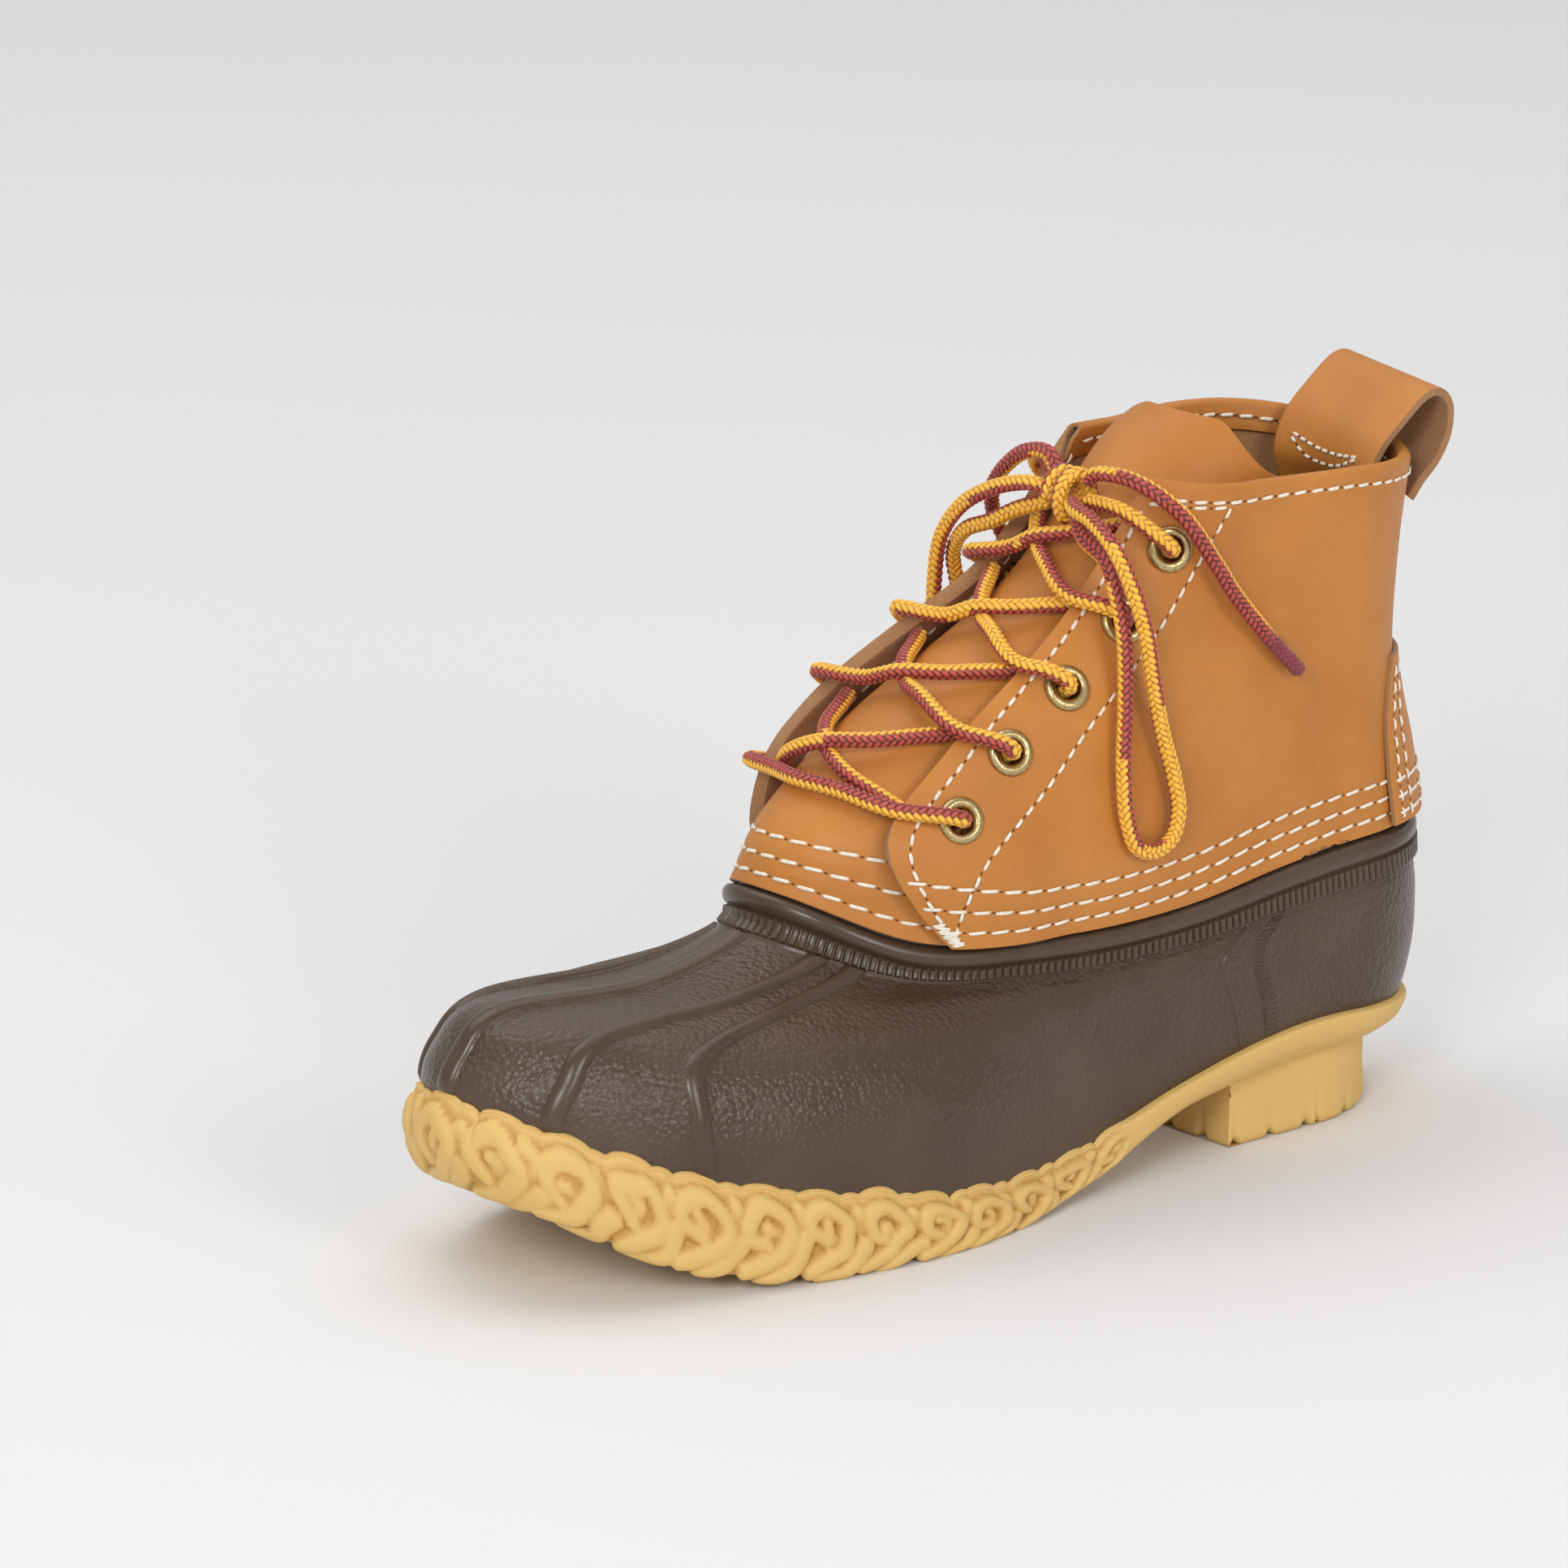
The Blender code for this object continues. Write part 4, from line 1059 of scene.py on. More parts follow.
@dataclass(frozen=True)
class LaceCord:
    """The round braided lace as a tube with plaits in relief, one half of it gold."""

    radius: float = 2.1
    step: float = 0.32
    sides: int = 40
    plaits: int = 6
    plait_length: float = 1.85
    plait_depth: float = 0.60
    plait_power: float = 0.6
    plait_dive: float = 0.60
    first_side: tuple = (0.31, 0.17, 0.93)
    cap: tuple = (0.7, 0.8)
    shown: tuple = (0.634, 0.725, 0.268)
    tip_length: float = 20.0
    tip_fade: float = 9.0
    tip_smooth: float = 0.45

    def tube(self, name: str, route: Points, gold: tuple[float, float], dense: bool = False,
             tip: bool = False) -> tuple[Piece, Points]:
        """Braided tube along a route.

        Args:
            name: Name of the new object.
            route: Points of the middle line, in millimetres.
            gold: Turn of the gold half from the shown side, at the start and at the end.
            dense: Whether the route is already a dense line.
            tip: Whether its far end is melted to a tip.

        Returns:
            The object and its middle line.
        """
        route = np.asarray(route, dtype=float)
        reach = reach_of(route)
        places = np.linspace(0, reach[-1], max(8, round(reach[-1] / self.step)) + 1)
        line = along_line(route, places) if dense else through(reach, route, places)
        ahead, across, up = self._frames(line)
        run = reach_of(line)[:, None]
        around = np.linspace(0, 2 * pi, self.sides, endpoint=False)
        places_round = around[None, :] * self.plaits / (2 * pi)
        pitch = run / self.plait_length
        crown, middle = self._plaits(places_round + pitch, places_round - pitch)
        facing = np.arctan2(up @ self.shown, across @ self.shown)[:, None]
        split = facing + np.linspace(*gold, len(line))[:, None]
        yarn = (np.cos(middle * 2 * pi / self.plaits - split) > 0).astype(float)
        melts_from = run[-1, 0] - self.tip_length
        melted = between(melts_from, melts_from + self.tip_fade, run) * tip
        radius = self.radius - self.plait_depth * (1 - crown) * (1 - self.tip_smooth * melted)
        spoke = np.cos(around)[None, :, None] * across[:, None] + np.sin(around)[None, :, None] * up[:, None]
        points = line[:, None] + radius[..., None] * spoke
        caps = [np.repeat(end[None, None], self.sides, axis=1) for end in (line[0], line[-1])]
        narrow, reach_out = self.cap
        rounded = [line[end] + narrow * radius[end, :, None] * spoke[end] + reach_out * out * ahead[end]
                   for end, out in ((0, -1), (-1, 1))]
        points = np.concatenate([caps[0] - ahead[0], rounded[:1], points, rounded[1:], caps[1] + ahead[-1]])
        # crown, the height of each plait, also sets the painted crevice shade of the lace.
        values = {key: np.pad(np.broadcast_to(value, crown.shape), ((2, 2), (0, 0)), "edge")
                  for key, value in (("yarn", yarn), ("crown", crown), ("melted", melted))}
        made = drape(name, points, wrap=True, **values)
        face_out(made)
        smooth(made, Sharp.LACE)
        return made, line

    def _frames(self, line: Points) -> tuple[Points, Points, Points]:
        """Direction of the line, and two directions across it that turn as little as they can."""
        ahead = unit(np.gradient(line, axis=0))
        side = unit(np.cross(ahead[0], self.first_side))
        across = []
        for direction in ahead:
            side = unit(side - direction * (side @ direction))
            across.append(side)
        across = np.array(across)
        return ahead, across, np.cross(ahead, across)

    def _plaits(self, first: Points, second: Points) -> tuple[Points, Points]:
        """Herringbone plaits, over two and under two.

        Args:
            first: Places across the plaits that wind one way, counted in plaits.
            second: Places across those that wind the other way.

        Returns:
            Height from 0 to 1, and the place round the lace of each plait.
        """
        cell_a, cell_b = np.floor(first), np.floor(second)
        part_a, part_b = first - cell_a, second - cell_b
        total = cell_a + cell_b
        over = total % 4 < 2
        ridge = np.where(over, part_a, part_b)
        run = (total % 2 + np.where(over, part_b, part_a)) / 2
        dive = 1 - self.plait_dive + self.plait_dive * np.sin(pi * run) ** self.plait_power
        crown = (1 - (2 * ridge - 1) ** 2) ** self.plait_power * dive
        return crown, (total - total % 2 + 1.5) / 2


@dataclass(frozen=True)
class Lacing:
    """Taut lace over the tongue, the knot, and the free loops and ends of the bow."""

    cord: LaceCord = LaceCord()
    clear: float = 0.6
    tongue_clear: float = 1.1
    lift: float = 3.0
    edge_lift: float = 2.1
    bends: tuple = ((-4.5, 0.0), (-1.0, 0.0), (2.2, 0.0), (4.5, 1.5), (4.9, 5.9))
    tuck: float = 5.0
    tie_level: float = 9.78
    knot: tuple = (112.0, 4.5, 170.0)
    knot_half: tuple = (6.0, 7.0, 7.0)
    knot_clear: float = 0.45
    knot_depth: float = 0.35
    wrap_half: tuple = (4.2, 5.6)
    wrap_turns: float = 1.7
    wrap_pitch: float = 4.4
    wrap_points: int = 60
    knot_gold: tuple = (0.5, 0.2)
    loop_gold: tuple = ((2.0, -3.2), (1.2, 0.4))
    end_gold: tuple = ((-2.0, -2.5), (-2.4, -2.0))
    bar_gold: tuple = (-1.9, -2.0)
    cross_gold: tuple = ((1.5, -1.5), (1.3, -1.8), (0.6, -0.3), (-1.9, -1.2))
    cross_twist: tuple = (0.5, -0.5)
    tie_gold: tuple = (1.0, -1.2)
    edge_turn: float = 1.5
    edge_steps: int = 151
    loop_out: tuple = (
        (118.5, 13.0, 169.0), (121.2, 22.5, 167.8), (123.2, 33.5, 162.2), (121.6, 38.4, 152.8),
        (118.5, 39.5, 142.6), (115.2, 38.8, 130.0), (110.8, 38.0, 115.3), (107.2, 38.5, 103.5),
        (105.9, 38.8, 94.5), (108.3, 39.0, 88.6), (114.2, 39.1, 86.2), (120.1, 39.0, 88.6),
        (122.5, 38.6, 94.5), (123.2, 37.4, 107.0), (121.6, 36.0, 123.4), (121.2, 34.2, 143.3),
        (121.3, 31.8, 151.2), (120.5, 27.2, 158.2), (119.5, 18.0, 162.5),
    )
    loop_in: tuple = (
        (116.0, -4.0, 172.0), (117.0, -11.5, 171.0), (118.0, -20.0, 168.0), (118.2, -30.0, 162.0),
        (117.8, -37.5, 153.0), (117.2, -40.5, 141.0), (117.8, -40.0, 125.0), (118.6, -39.2, 112.0),
        (118.7, -38.8, 103.4), (116.3, -38.8, 97.6), (110.5, -38.8, 95.2), (104.7, -38.8, 97.6),
        (102.3, -38.8, 103.4), (103.3, -38.8, 112.5), (106.8, -39.0, 126.0), (110.7, -39.0, 139.5),
        (113.5, -37.5, 148.5), (116.0, -30.0, 156.0), (116.0, -20.0, 160.0), (115.3, -11.5, 164.3),
    )
    end_out: tuple = (
        (111.3, 12.0, 176.0), (110.3, 18.5, 177.0), (107.5, 27.5, 175.0), (102.0, 33.5, 168.9),
        (93.0, 36.5, 156.2), (86.3, 36.8, 147.1), (75.3, 37.0, 135.2), (63.8, 37.0, 124.1),
    )
    end_in: tuple = (
        (110.5, -4.5, 178.5), (110.0, -13.5, 178.0), (109.0, -23.0, 172.5), (105.5, -32.0, 164.0),
        (100.0, -36.5, 155.0), (92.0, -38.0, 145.0), (81.0, -38.3, 134.0), (69.0, -38.0, 123.5),
    )

    def build_bow(self, finishes: Finishes) -> None:
        """Free lace: both loops, both ends and the knot."""
        for place, route, gold in zip(("out", "in"), (self.loop_out, self.loop_in), self.loop_gold):
            closed = [self._knot_face(route[0]), *route, self._knot_face(route[-1])]
            self._free(f"lace_loop_{place}", closed, gold, "object", finishes)
        for place, route, gold in zip(("out", "in"), (self.end_out, self.end_in), self.end_gold):
            self._free(f"lace_end_{place}", [self._knot_face(route[0]), *route], gold, "bare", finishes)
        turns = np.linspace(0, 2 * pi * self.wrap_turns, self.wrap_points)
        half_x, half_z = self.wrap_half
        pace = self.wrap_pitch / (2 * pi)
        wrap = np.stack([half_x * np.cos(turns), pace * turns - self.wrap_pitch * self.wrap_turns / 2,
                         half_z * np.sin(turns)], axis=-1) + self.knot
        knot, _ = self.cord.tube("lace_knot_wraps", wrap, self.knot_gold, dense=True)
        deliver(knot, "lace", [finishes.lace], "lace_knot")

    def _free(self, name: str, route: Sequence, gold: tuple, far_end: str, finishes: Finishes) -> None:
        """One free run of the lace."""
        made, line = self.cord.tube(f"{name}_braid", route, gold, tip=far_end == "bare")
        deliver(made, "lace", [finishes.lace], name)
        path = LAST.world(line)
        tuple(path[0])
        float(reach_of(path)[-1])

    def _knot_face(self, toward: Sequence[float]) -> Points:
        """Point just clear of the knot, on the way to a place."""
        ahead = unit(np.array(toward) - self.knot)
        return self.knot + ahead * (1 / np.linalg.norm(ahead / self.knot_half) + self.knot_clear)

    def build_strands(self, finishes: Finishes) -> None:
        """Taut lace: the bar, the crossings and both runs to the knot."""
        first, last = EYELETS.levels[0], len(EYELETS.levels) - 1
        lifts = (0, self.clear, self.clear, self.clear, 0)
        across = self._over_tongue((first, Side.OUT), (first, Side.IN), lifts)
        bar = (self._over_edge(0, Side.OUT, first) + across[1:-1]
               + self._over_edge(0, Side.IN, first)[::-1])
        made, _ = self.cord.tube("lace_bar_braid", bar, self.bar_gold)
        deliver(made, "lace", [finishes.lace], "lace_bar")
        for number in range(last):
            runs = zip(("under", "over"), Side, (0.0, self.lift), self.cross_gold[number], self.cross_twist)
            strands = [self.cord.tube(name, self._crossing(number, side, lift), (gold, gold + twist))[0]
                       for name, side, lift, gold, twist in runs]
            made = join(f"lace_cross_{number + 1}_braid", strands)
            deliver(made, "lace", [finishes.lace], f"lace_cross_{number + 1}")
        for side, place, gold in zip(Side, ("out", "in"), self.tie_gold):
            run = self._over_edge(last, side, self.tie_level)
            inside = self.knot + (run[-1] - self.knot) * self.knot_depth
            made, _ = self.cord.tube(f"lace_tie_{place}_braid", [*run, inside], (gold, gold))
            deliver(made, "lace", [finishes.lace], f"lace_tie_{place}")

    def _over_edge(self, number: int, side: Side, level: float) -> list[Points]:
        """Strand points out of an eyelet and over the quarter's front edge at a level."""
        centre, normal = EYELETS.seat(number, side)
        edge = LAST.throat_edge(level, side)
        stand = self.cord.radius + self.clear + LAST.flare_at(level, side, 0.0)
        over = LAST.stand_off(LAST.quarter, edge, level, stand)
        ahead = over - centre
        ahead = unit(ahead - normal * (ahead @ normal))
        leaving = [centre + normal * height + ahead * forward for height, forward in self.bends]
        return leaving + [over + ahead * self.clear]

    def _beside_edge(self, level: float, side: Side) -> float:
        """Ring angle on the tongue where a lace lies just clear of a quarter's front edge."""
        edge = LAST.quarter(LAST.throat_edge(level, side), level)
        turns = pi - side.value * np.linspace(0.0, self.edge_turn, self.edge_steps)
        reach = np.linalg.norm(LAST.instep(turns, level) - edge, axis=1)
        return turns[np.argmax(reach < np.hypot(reach.min(), self.cord.radius + 2 * self.clear))]

    def _over_tongue(self, start: tuple, end: tuple, lifts: Sequence[float]) -> list[Points]:
        """Strand points over the tongue between two quarters' edges, each a level and a side."""
        share = np.linspace(0, 1, len(lifts))
        first, last = self._beside_edge(*start), self._beside_edge(*end)
        turns = first + (last - first) * share
        levels = start[0] + (end[0] - start[0]) * share
        stand = self.cord.radius + self.tongue_clear + np.array(lifts)
        return list(LAST.stand_off(LAST.instep, turns, levels, stand))

    def _tucked(self, line: list[Points]) -> list[Points]:
        """A strand drawn on a little past its last point, under the leather."""
        return [*line, line[-1] + unit(line[-1] - line[-2]) * self.tuck]

    def _crossing(self, number: int, side: Side, lift: float) -> list[Points]:
        """Strand from an eyelet over its quarter's edge and under the other edge to the next eyelet."""
        level, following = EYELETS.levels[number:number + 2]
        other = Side(-side.value)
        if number == 0:
            across = self._over_tongue((level, side), (following, other), (0, lift / 2, lift, lift / 2, 0))
            return self._tucked(self._tucked(across[::-1])[::-1])
        leaving = level + (following - level) / 4
        lifts = (0, self.edge_lift, lift, lift / 2, 0)
        across = self._over_tongue((leaving, side), (following, other), lifts)
        return self._tucked(self._over_edge(number, side, leaving) + across[1:])


class Strand(NamedTuple):
    """Rounded strand of the moulded links: places along and up the rim, radius, lift at both ends."""

    places: tuple
    radius: float
    lift: tuple


@dataclass(frozen=True)
class Outsole:
    """Gum outsole: moulded chain links on the rim, zigzag tread, smooth shank and block heel."""

    columns: int = 1000
    rim_level: float = 0.5
    rim_rows: int = 44
    lip_rows: int = 6
    lip_step: float = 0.1
    link_fade_x: tuple = (116.0, 132.0)
    heel_fade_x: tuple = (95.0, 125.0)
    toe_fade: tuple = (0.85, 1.0)
    rim: tuple = ((1.0, -0.2, 0.0, 0.0), (0.97, 2.2, 0.0, 0.0), (0.5, 4.2, -1.0, 3.5))
    sides: tuple = ((4.8, -3.6, 2.5, 0.45, 0.0), (4.2, -6.0, -1.0, 0.0, 0.9), (1.5, -5.5, -1.5, 0.0, 0.0))
    bottom: float = -7.0
    tread_edge: float = -8.2
    tread_depth: float = 2.2
    tread_spine: float = 15.0
    bed_spine: float = 12.0
    bed_shoulder: float = 9.0
    gap: float = 0.3
    link_pitch: float = 16.4
    link_height: float = 20.0
    link_relief: float = 0.85
    link_base: float = 1.55
    link_toe: float = 0.3
    link_top: tuple = (0.0, 0.9)
    link_low: tuple = (4.3, 5.0)
    link_low_fade: float = 0.6
    crease_steps: tuple = ((1, (1, 2, 4)), (0, (1, 2)))
    crease_gain: float = 1.1
    links: tuple[Strand, ...] = (
        Strand(((4.8, 9.6), (1.6, 11.8), (2.2, 15.6), (6.2, 17.6), (10.6, 16.2), (12.0, 12.8), (9.8, 9.2),
                (5.0, 6.0), (-1.6, 3.6)), 2.4, (-0.3, 0.7)),
        Strand(((6.4, 14.0), (7.0, 12.6), (7.3, 11.2)), 1.8, (0.1, -0.5)),
        Strand(((15.2, 9.6), (12.0, 5.8), (7.2, 2.8), (1.6, 0.6)), 2.7, (-0.2, 0.3)),
        Strand(((14.5, 17.0), (15.0, 15.0), (14.6, 13.0)), 2.1, (-0.2, -0.8)),
    )
    link_steps: int = 9
    link_window: float = 22.0
    link_jitter: float = 0.75
    lift_jitter: float = 0.22
    scallops: tuple = ((6.2, 1.7, 6.4), (14.4, 1.0, 3.6))
    scallop_jitter: tuple = (0.7, 0.3)
    scallop_dip: float = 1.1
    heel_back: float = 12.5
    heel_breast: float = 79.0
    heel_half: float = 31.0
    heel_round: float = 1.15
    heel_key: float = 1.8
    heel_turns: int = 90
    heel_columns: int = 420
    heel_swell: float = 0.35
    heel_top: float = 18.0
    heel_cap: tuple = (0.02, 0.6)
    heel_wall: tuple = ((1.2, 1.0), (0.0, 0.75), (0.15, 0.5))
    heel_foot: tuple = ((0.1, 4.5), (0.0, 2.0), (0.35, 0.9), (1.2, 0.15))
    heel_under: tuple = ((2.2, 1.0), (5.0, 0.4))
    heel_floor: tuple = (0.72, 0.02)
    notch_pitch: float = 12.5
    notch_width: float = 2.6
    notch_depth: float = 1.7
    bar_from_x: float = 150.0
    bar_pitch: float = 14.0
    bar_count: int = 9
    bar_width: float = 6.0
    bar_swing: float = 3.5
    bar_inset: float = 11.0
    bar_points: int = 7
    bar_rows: tuple = ((3.0, 3.4), (0.6, 2.4), (0.0, 1.6), (0.15, 0.5), (0.6, 0.0), (3.0, 0.0))
    seed: int = 7

    def build(self, finishes: Finishes) -> None:
        """Make the sole, its heel and its tread as one piece."""
        parts = [self._sole(), self._heel(), *self._bars()]
        made = join("outsole_moulding", parts)
        smooth(made, Sharp.GUM)
        deliver(made, "gum_rubber", [finishes.gum], "outsole")

    def _links(self, reach: Points, height: Points) -> Points:
        """Relief of the moulded links.

        Args:
            reach: Distance round the sole of each column.
            height: Height on the rim of each row and column.

        Returns:
            Height of the links over their ground.
        """
        draw = np.random.default_rng(self.seed)
        relief = np.zeros(height.shape)
        for away in self._from_links(reach):
            near = np.flatnonzero(np.abs(away) < self.link_window)
            for strand in self.links:
                places = np.array(strand.places) + draw.normal(0, self.link_jitter, (len(strand.places), 2))
                knots = np.arange(len(places))
                line = through(knots, places, np.linspace(0, knots[-1], self.link_steps * knots[-1]))
                lifts = np.linspace(*strand.lift, len(line)) + draw.normal(0, self.lift_jitter)
                for (along, up), lift in zip(line, lifts):
                    off = np.hypot(away[near] - along, height[:, near] - up) / strand.radius
                    bulge = np.sqrt(np.clip(1 - off ** 2, 0, 1)) * (strand.radius + lift)
                    relief[:, near] = np.maximum(relief[:, near], bulge)
        return relief

    def _from_links(self, reach: Points) -> list[Points]:
        """Distance of each column from the start of each link, towards the heel on the outer side."""
        total = float(reach.max())
        count = round(total / self.link_pitch)
        starts = np.arange(count) * total / count
        return [(start - reach + total / 2) % total - total / 2 for start in starts]

    def _scallop(self, reach: Points) -> Points:
        """Rise and fall of the lip, in millimetres."""
        draw = np.random.default_rng(self.seed + 1)
        wave = np.zeros(reach.shape)
        for away in self._from_links(reach):
            for place, rise, half in self.scallops:
                shift, grow = draw.normal(0, self.scallop_jitter)
                off = np.clip((away - place - shift) / half, -1, 1)
                wave = np.maximum(wave, (rise + grow + self.scallop_dip) * np.sqrt(1 - off ** 2))
        return wave - self.scallop_dip

    def _sole(self) -> Piece:
        """The sole without its heel block: bed, lip, rim with links, and ground of the tread."""
        angles = LAST.even_angles(self.rim_level, self.columns)
        along = (1 - np.cos(angles)) / 2
        edge, normal = LAST.sole_edge(angles)
        under = LAST.tread_height(along)
        heel = 1 - between(*self.heel_fade_x, edge[:, 0])
        toe = between(*self.toe_fade, along)
        links = between(*self.link_fade_x, edge[:, 0])
        ring = LAST.face(angles, self.rim_level)
        reach = reach_of(np.concatenate([ring, ring[:1]]))[:-1]
        climb = np.linalg.norm(LAST.face(angles, 1 + self.lip_step) - LAST.face(angles, 1.0), axis=1)
        rise = links * self._scallop(reach)
        wave = rise * self.lip_step / climb

        def side(stand: Points, height: Points) -> Points:
            """Row below the feather edge, at a distance out from it and a height."""
            level = np.stack([edge[:, 0], edge[:, 1], height], axis=-1)
            return level + normal * np.broadcast_to(stand, height.shape)[:, None]

        rows = [LAST.stand_off(LAST.face, angles, level + wave * level ** 2,
                               stand + at_heel * heel + at_toe * toe)
                for level, stand, at_heel, at_toe in self.rim]
        rows += [side(stand + at_heel * heel + at_toe * toe, under + share * (edge[:, 2] - under) + lift)
                 for stand, at_heel, at_toe, share, lift in self.sides]
        knots = np.arange(len(rows))
        fine = np.concatenate([np.linspace(0, 1, self.lip_rows)[:-1],
                               np.linspace(1, knots[-1], self.rim_rows)])
        rim = through(knots, np.stack(rows), fine)
        arc = np.cumsum(np.linalg.norm(np.diff(rim[::-1], axis=0), axis=-1), axis=0)[::-1]
        arc = np.concatenate([arc, np.zeros((1, len(angles)))])
        relief = self._links(reach, arc * self.link_height / (arc[np.searchsorted(fine, 1.0)] - rise))
        low = 1 - self.link_low_fade * between(*self.link_low, fine)
        mask = links[None, :] * between(*self.link_top, fine)[:, None] * low[:, None]
        push = mask * (self.link_relief * relief - self.link_base) * (1 - self.link_toe * toe)
        ahead = np.roll(rim, -1, axis=1) - np.roll(rim, 1, axis=1)
        out = unit(np.cross(ahead, np.gradient(rim, axis=0)))
        rim = rim + out * push[..., None]
        rim[..., 2] = np.maximum(rim[..., 2], 0.0)
        bed = edge - (0, 0, self.gap)
        inner = [LAST.spine(angles, bed[:, 2], self.bed_spine), bed - normal * self.bed_shoulder,
                 bed + normal * self.gap]
        ground = under + self.tread_depth * links
        outer = [side(self.bottom, under), side(self.tread_edge, ground),
                 LAST.spine(angles, ground, self.tread_spine)]
        points = np.concatenate([np.stack(inner), rim, np.stack(outer)])
        # Painted shade: the hollows between the moulded links get a share that darkens the gum there.
        crease = np.zeros(points.shape[:2])
        crease[len(inner):len(inner) + len(fine)] = mask * self._creases(relief)
        made = drape("sole", points, wrap=True, crease=crease)
        face_out(made)
        return made

    def _creases(self, relief: Points) -> Points:
        """How far each place lies below what is round it, from 0 to 1, used as painted shade."""
        wide = relief
        for axis, steps in self.crease_steps:
            for step in steps:
                wide = (wide + np.roll(wide, step, axis=axis) + np.roll(wide, -step, axis=axis)) / 3
        return np.clip((wide - relief) * self.crease_gain, 0, 1)

    def _heel(self) -> Piece:
        """Block heel, round behind and straight at the breast, with bites out of its lower edge."""
        turn = np.linspace(0, pi, self.heel_turns)
        back = self.heel_back + self.heel_half * self.heel_round * (1 - np.sin(turn))
        behind = np.stack([back, self.heel_half * np.cos(turn)], axis=-1)
        breast = [(self.heel_breast, -self.heel_half), (self.heel_breast, self.heel_half)]
        outline = np.concatenate([behind, breast, behind[:1]])
        flat = np.column_stack([outline, np.zeros(len(outline))])
        places = np.linspace(0, reach_of(flat)[-1], self.heel_columns, endpoint=False)
        line = along_line(flat, places)
        middle = np.array([(self.heel_back + self.heel_breast) / 2, 0.0, 0.0])
        ahead = np.roll(line, -1, axis=0) - np.roll(line, 1, axis=0)
        out = unit(np.cross(ahead, (0.0, 0.0, 1.0)))
        out *= np.sign(np.sum(out * (line - middle), axis=1, keepdims=True))
        off = (places + self.notch_pitch / 2) % self.notch_pitch - self.notch_pitch / 2
        bite = self.notch_depth * bump(off, self.notch_width)
        height = LAST.sole_height(line[:, 0]) + self.heel_key
        swell = self.heel_swell * (1 - bump(off, self.notch_width))

        def row(inset: Points, z: Points) -> Points:
            """Ring of the block at an inset and a height."""
            ring = line - out * np.broadcast_to(inset, places.shape)[:, None]
            ring[:, 2] = z
            return ring

        def inner(z: float, share: float) -> Points:
            """Ring shrunk towards the middle of the block."""
            ring = middle + (line - middle) * share
            ring[:, 2] = z
            return ring

        rows = [inner(self.heel_top, share) for share in self.heel_cap]
        rows += [row(inset, height * share) for inset, share in self.heel_wall]
        rows += [row(inset - swell, z + bite) for inset, z in self.heel_foot]
        rows += [row(inset, bite * share) for inset, share in self.heel_under]
        rows += [inner(0.0, share) for share in self.heel_floor]
        made = drape("heel_block", np.stack(rows), wrap=True, crease=0.0)
        face_out(made)
        return made

    def _bars(self) -> list[Piece]:
        """Zigzag bars across the forefoot that follow the toe spring."""
        ring = LAST.rings[0]
        made = []
        for number in range(self.bar_count):
            x = self.bar_from_x + self.bar_pitch * number
            turn = float(LAST.angle_at(x, ring.x_back, ring.x_front))
            low, high = LAST.sole_edge(np.array([-turn, turn]))[0][:, 1]
            across = np.linspace(low + self.bar_inset, high - self.bar_inset, 6 * self.bar_points + 1)
            wave = np.linspace(0, self.bar_points - 1, len(across))
            swing = x + self.bar_swing * (1 - 2 * np.abs((wave % 2) - 1))
            rows = []
            for inset, lift in self.bar_rows:
                half = self.bar_width / 2 - inset
                left, right = (np.stack([edge, across, LAST.sole_height(edge) + lift], axis=-1)
                               for edge in (swing - half, swing + half))
                rows.append(np.concatenate([left, right[::-1]]))
            bar = drape(f"bar_{number}", np.stack(rows), wrap=True, crease=0.0)
            face_out(bar)
            made.append(bar)
        return made


class Rib(NamedTuple):
    """Toe rib: ring angle in degrees at the foxing and at the knurled band."""

    at_foxing: float
    at_band: float


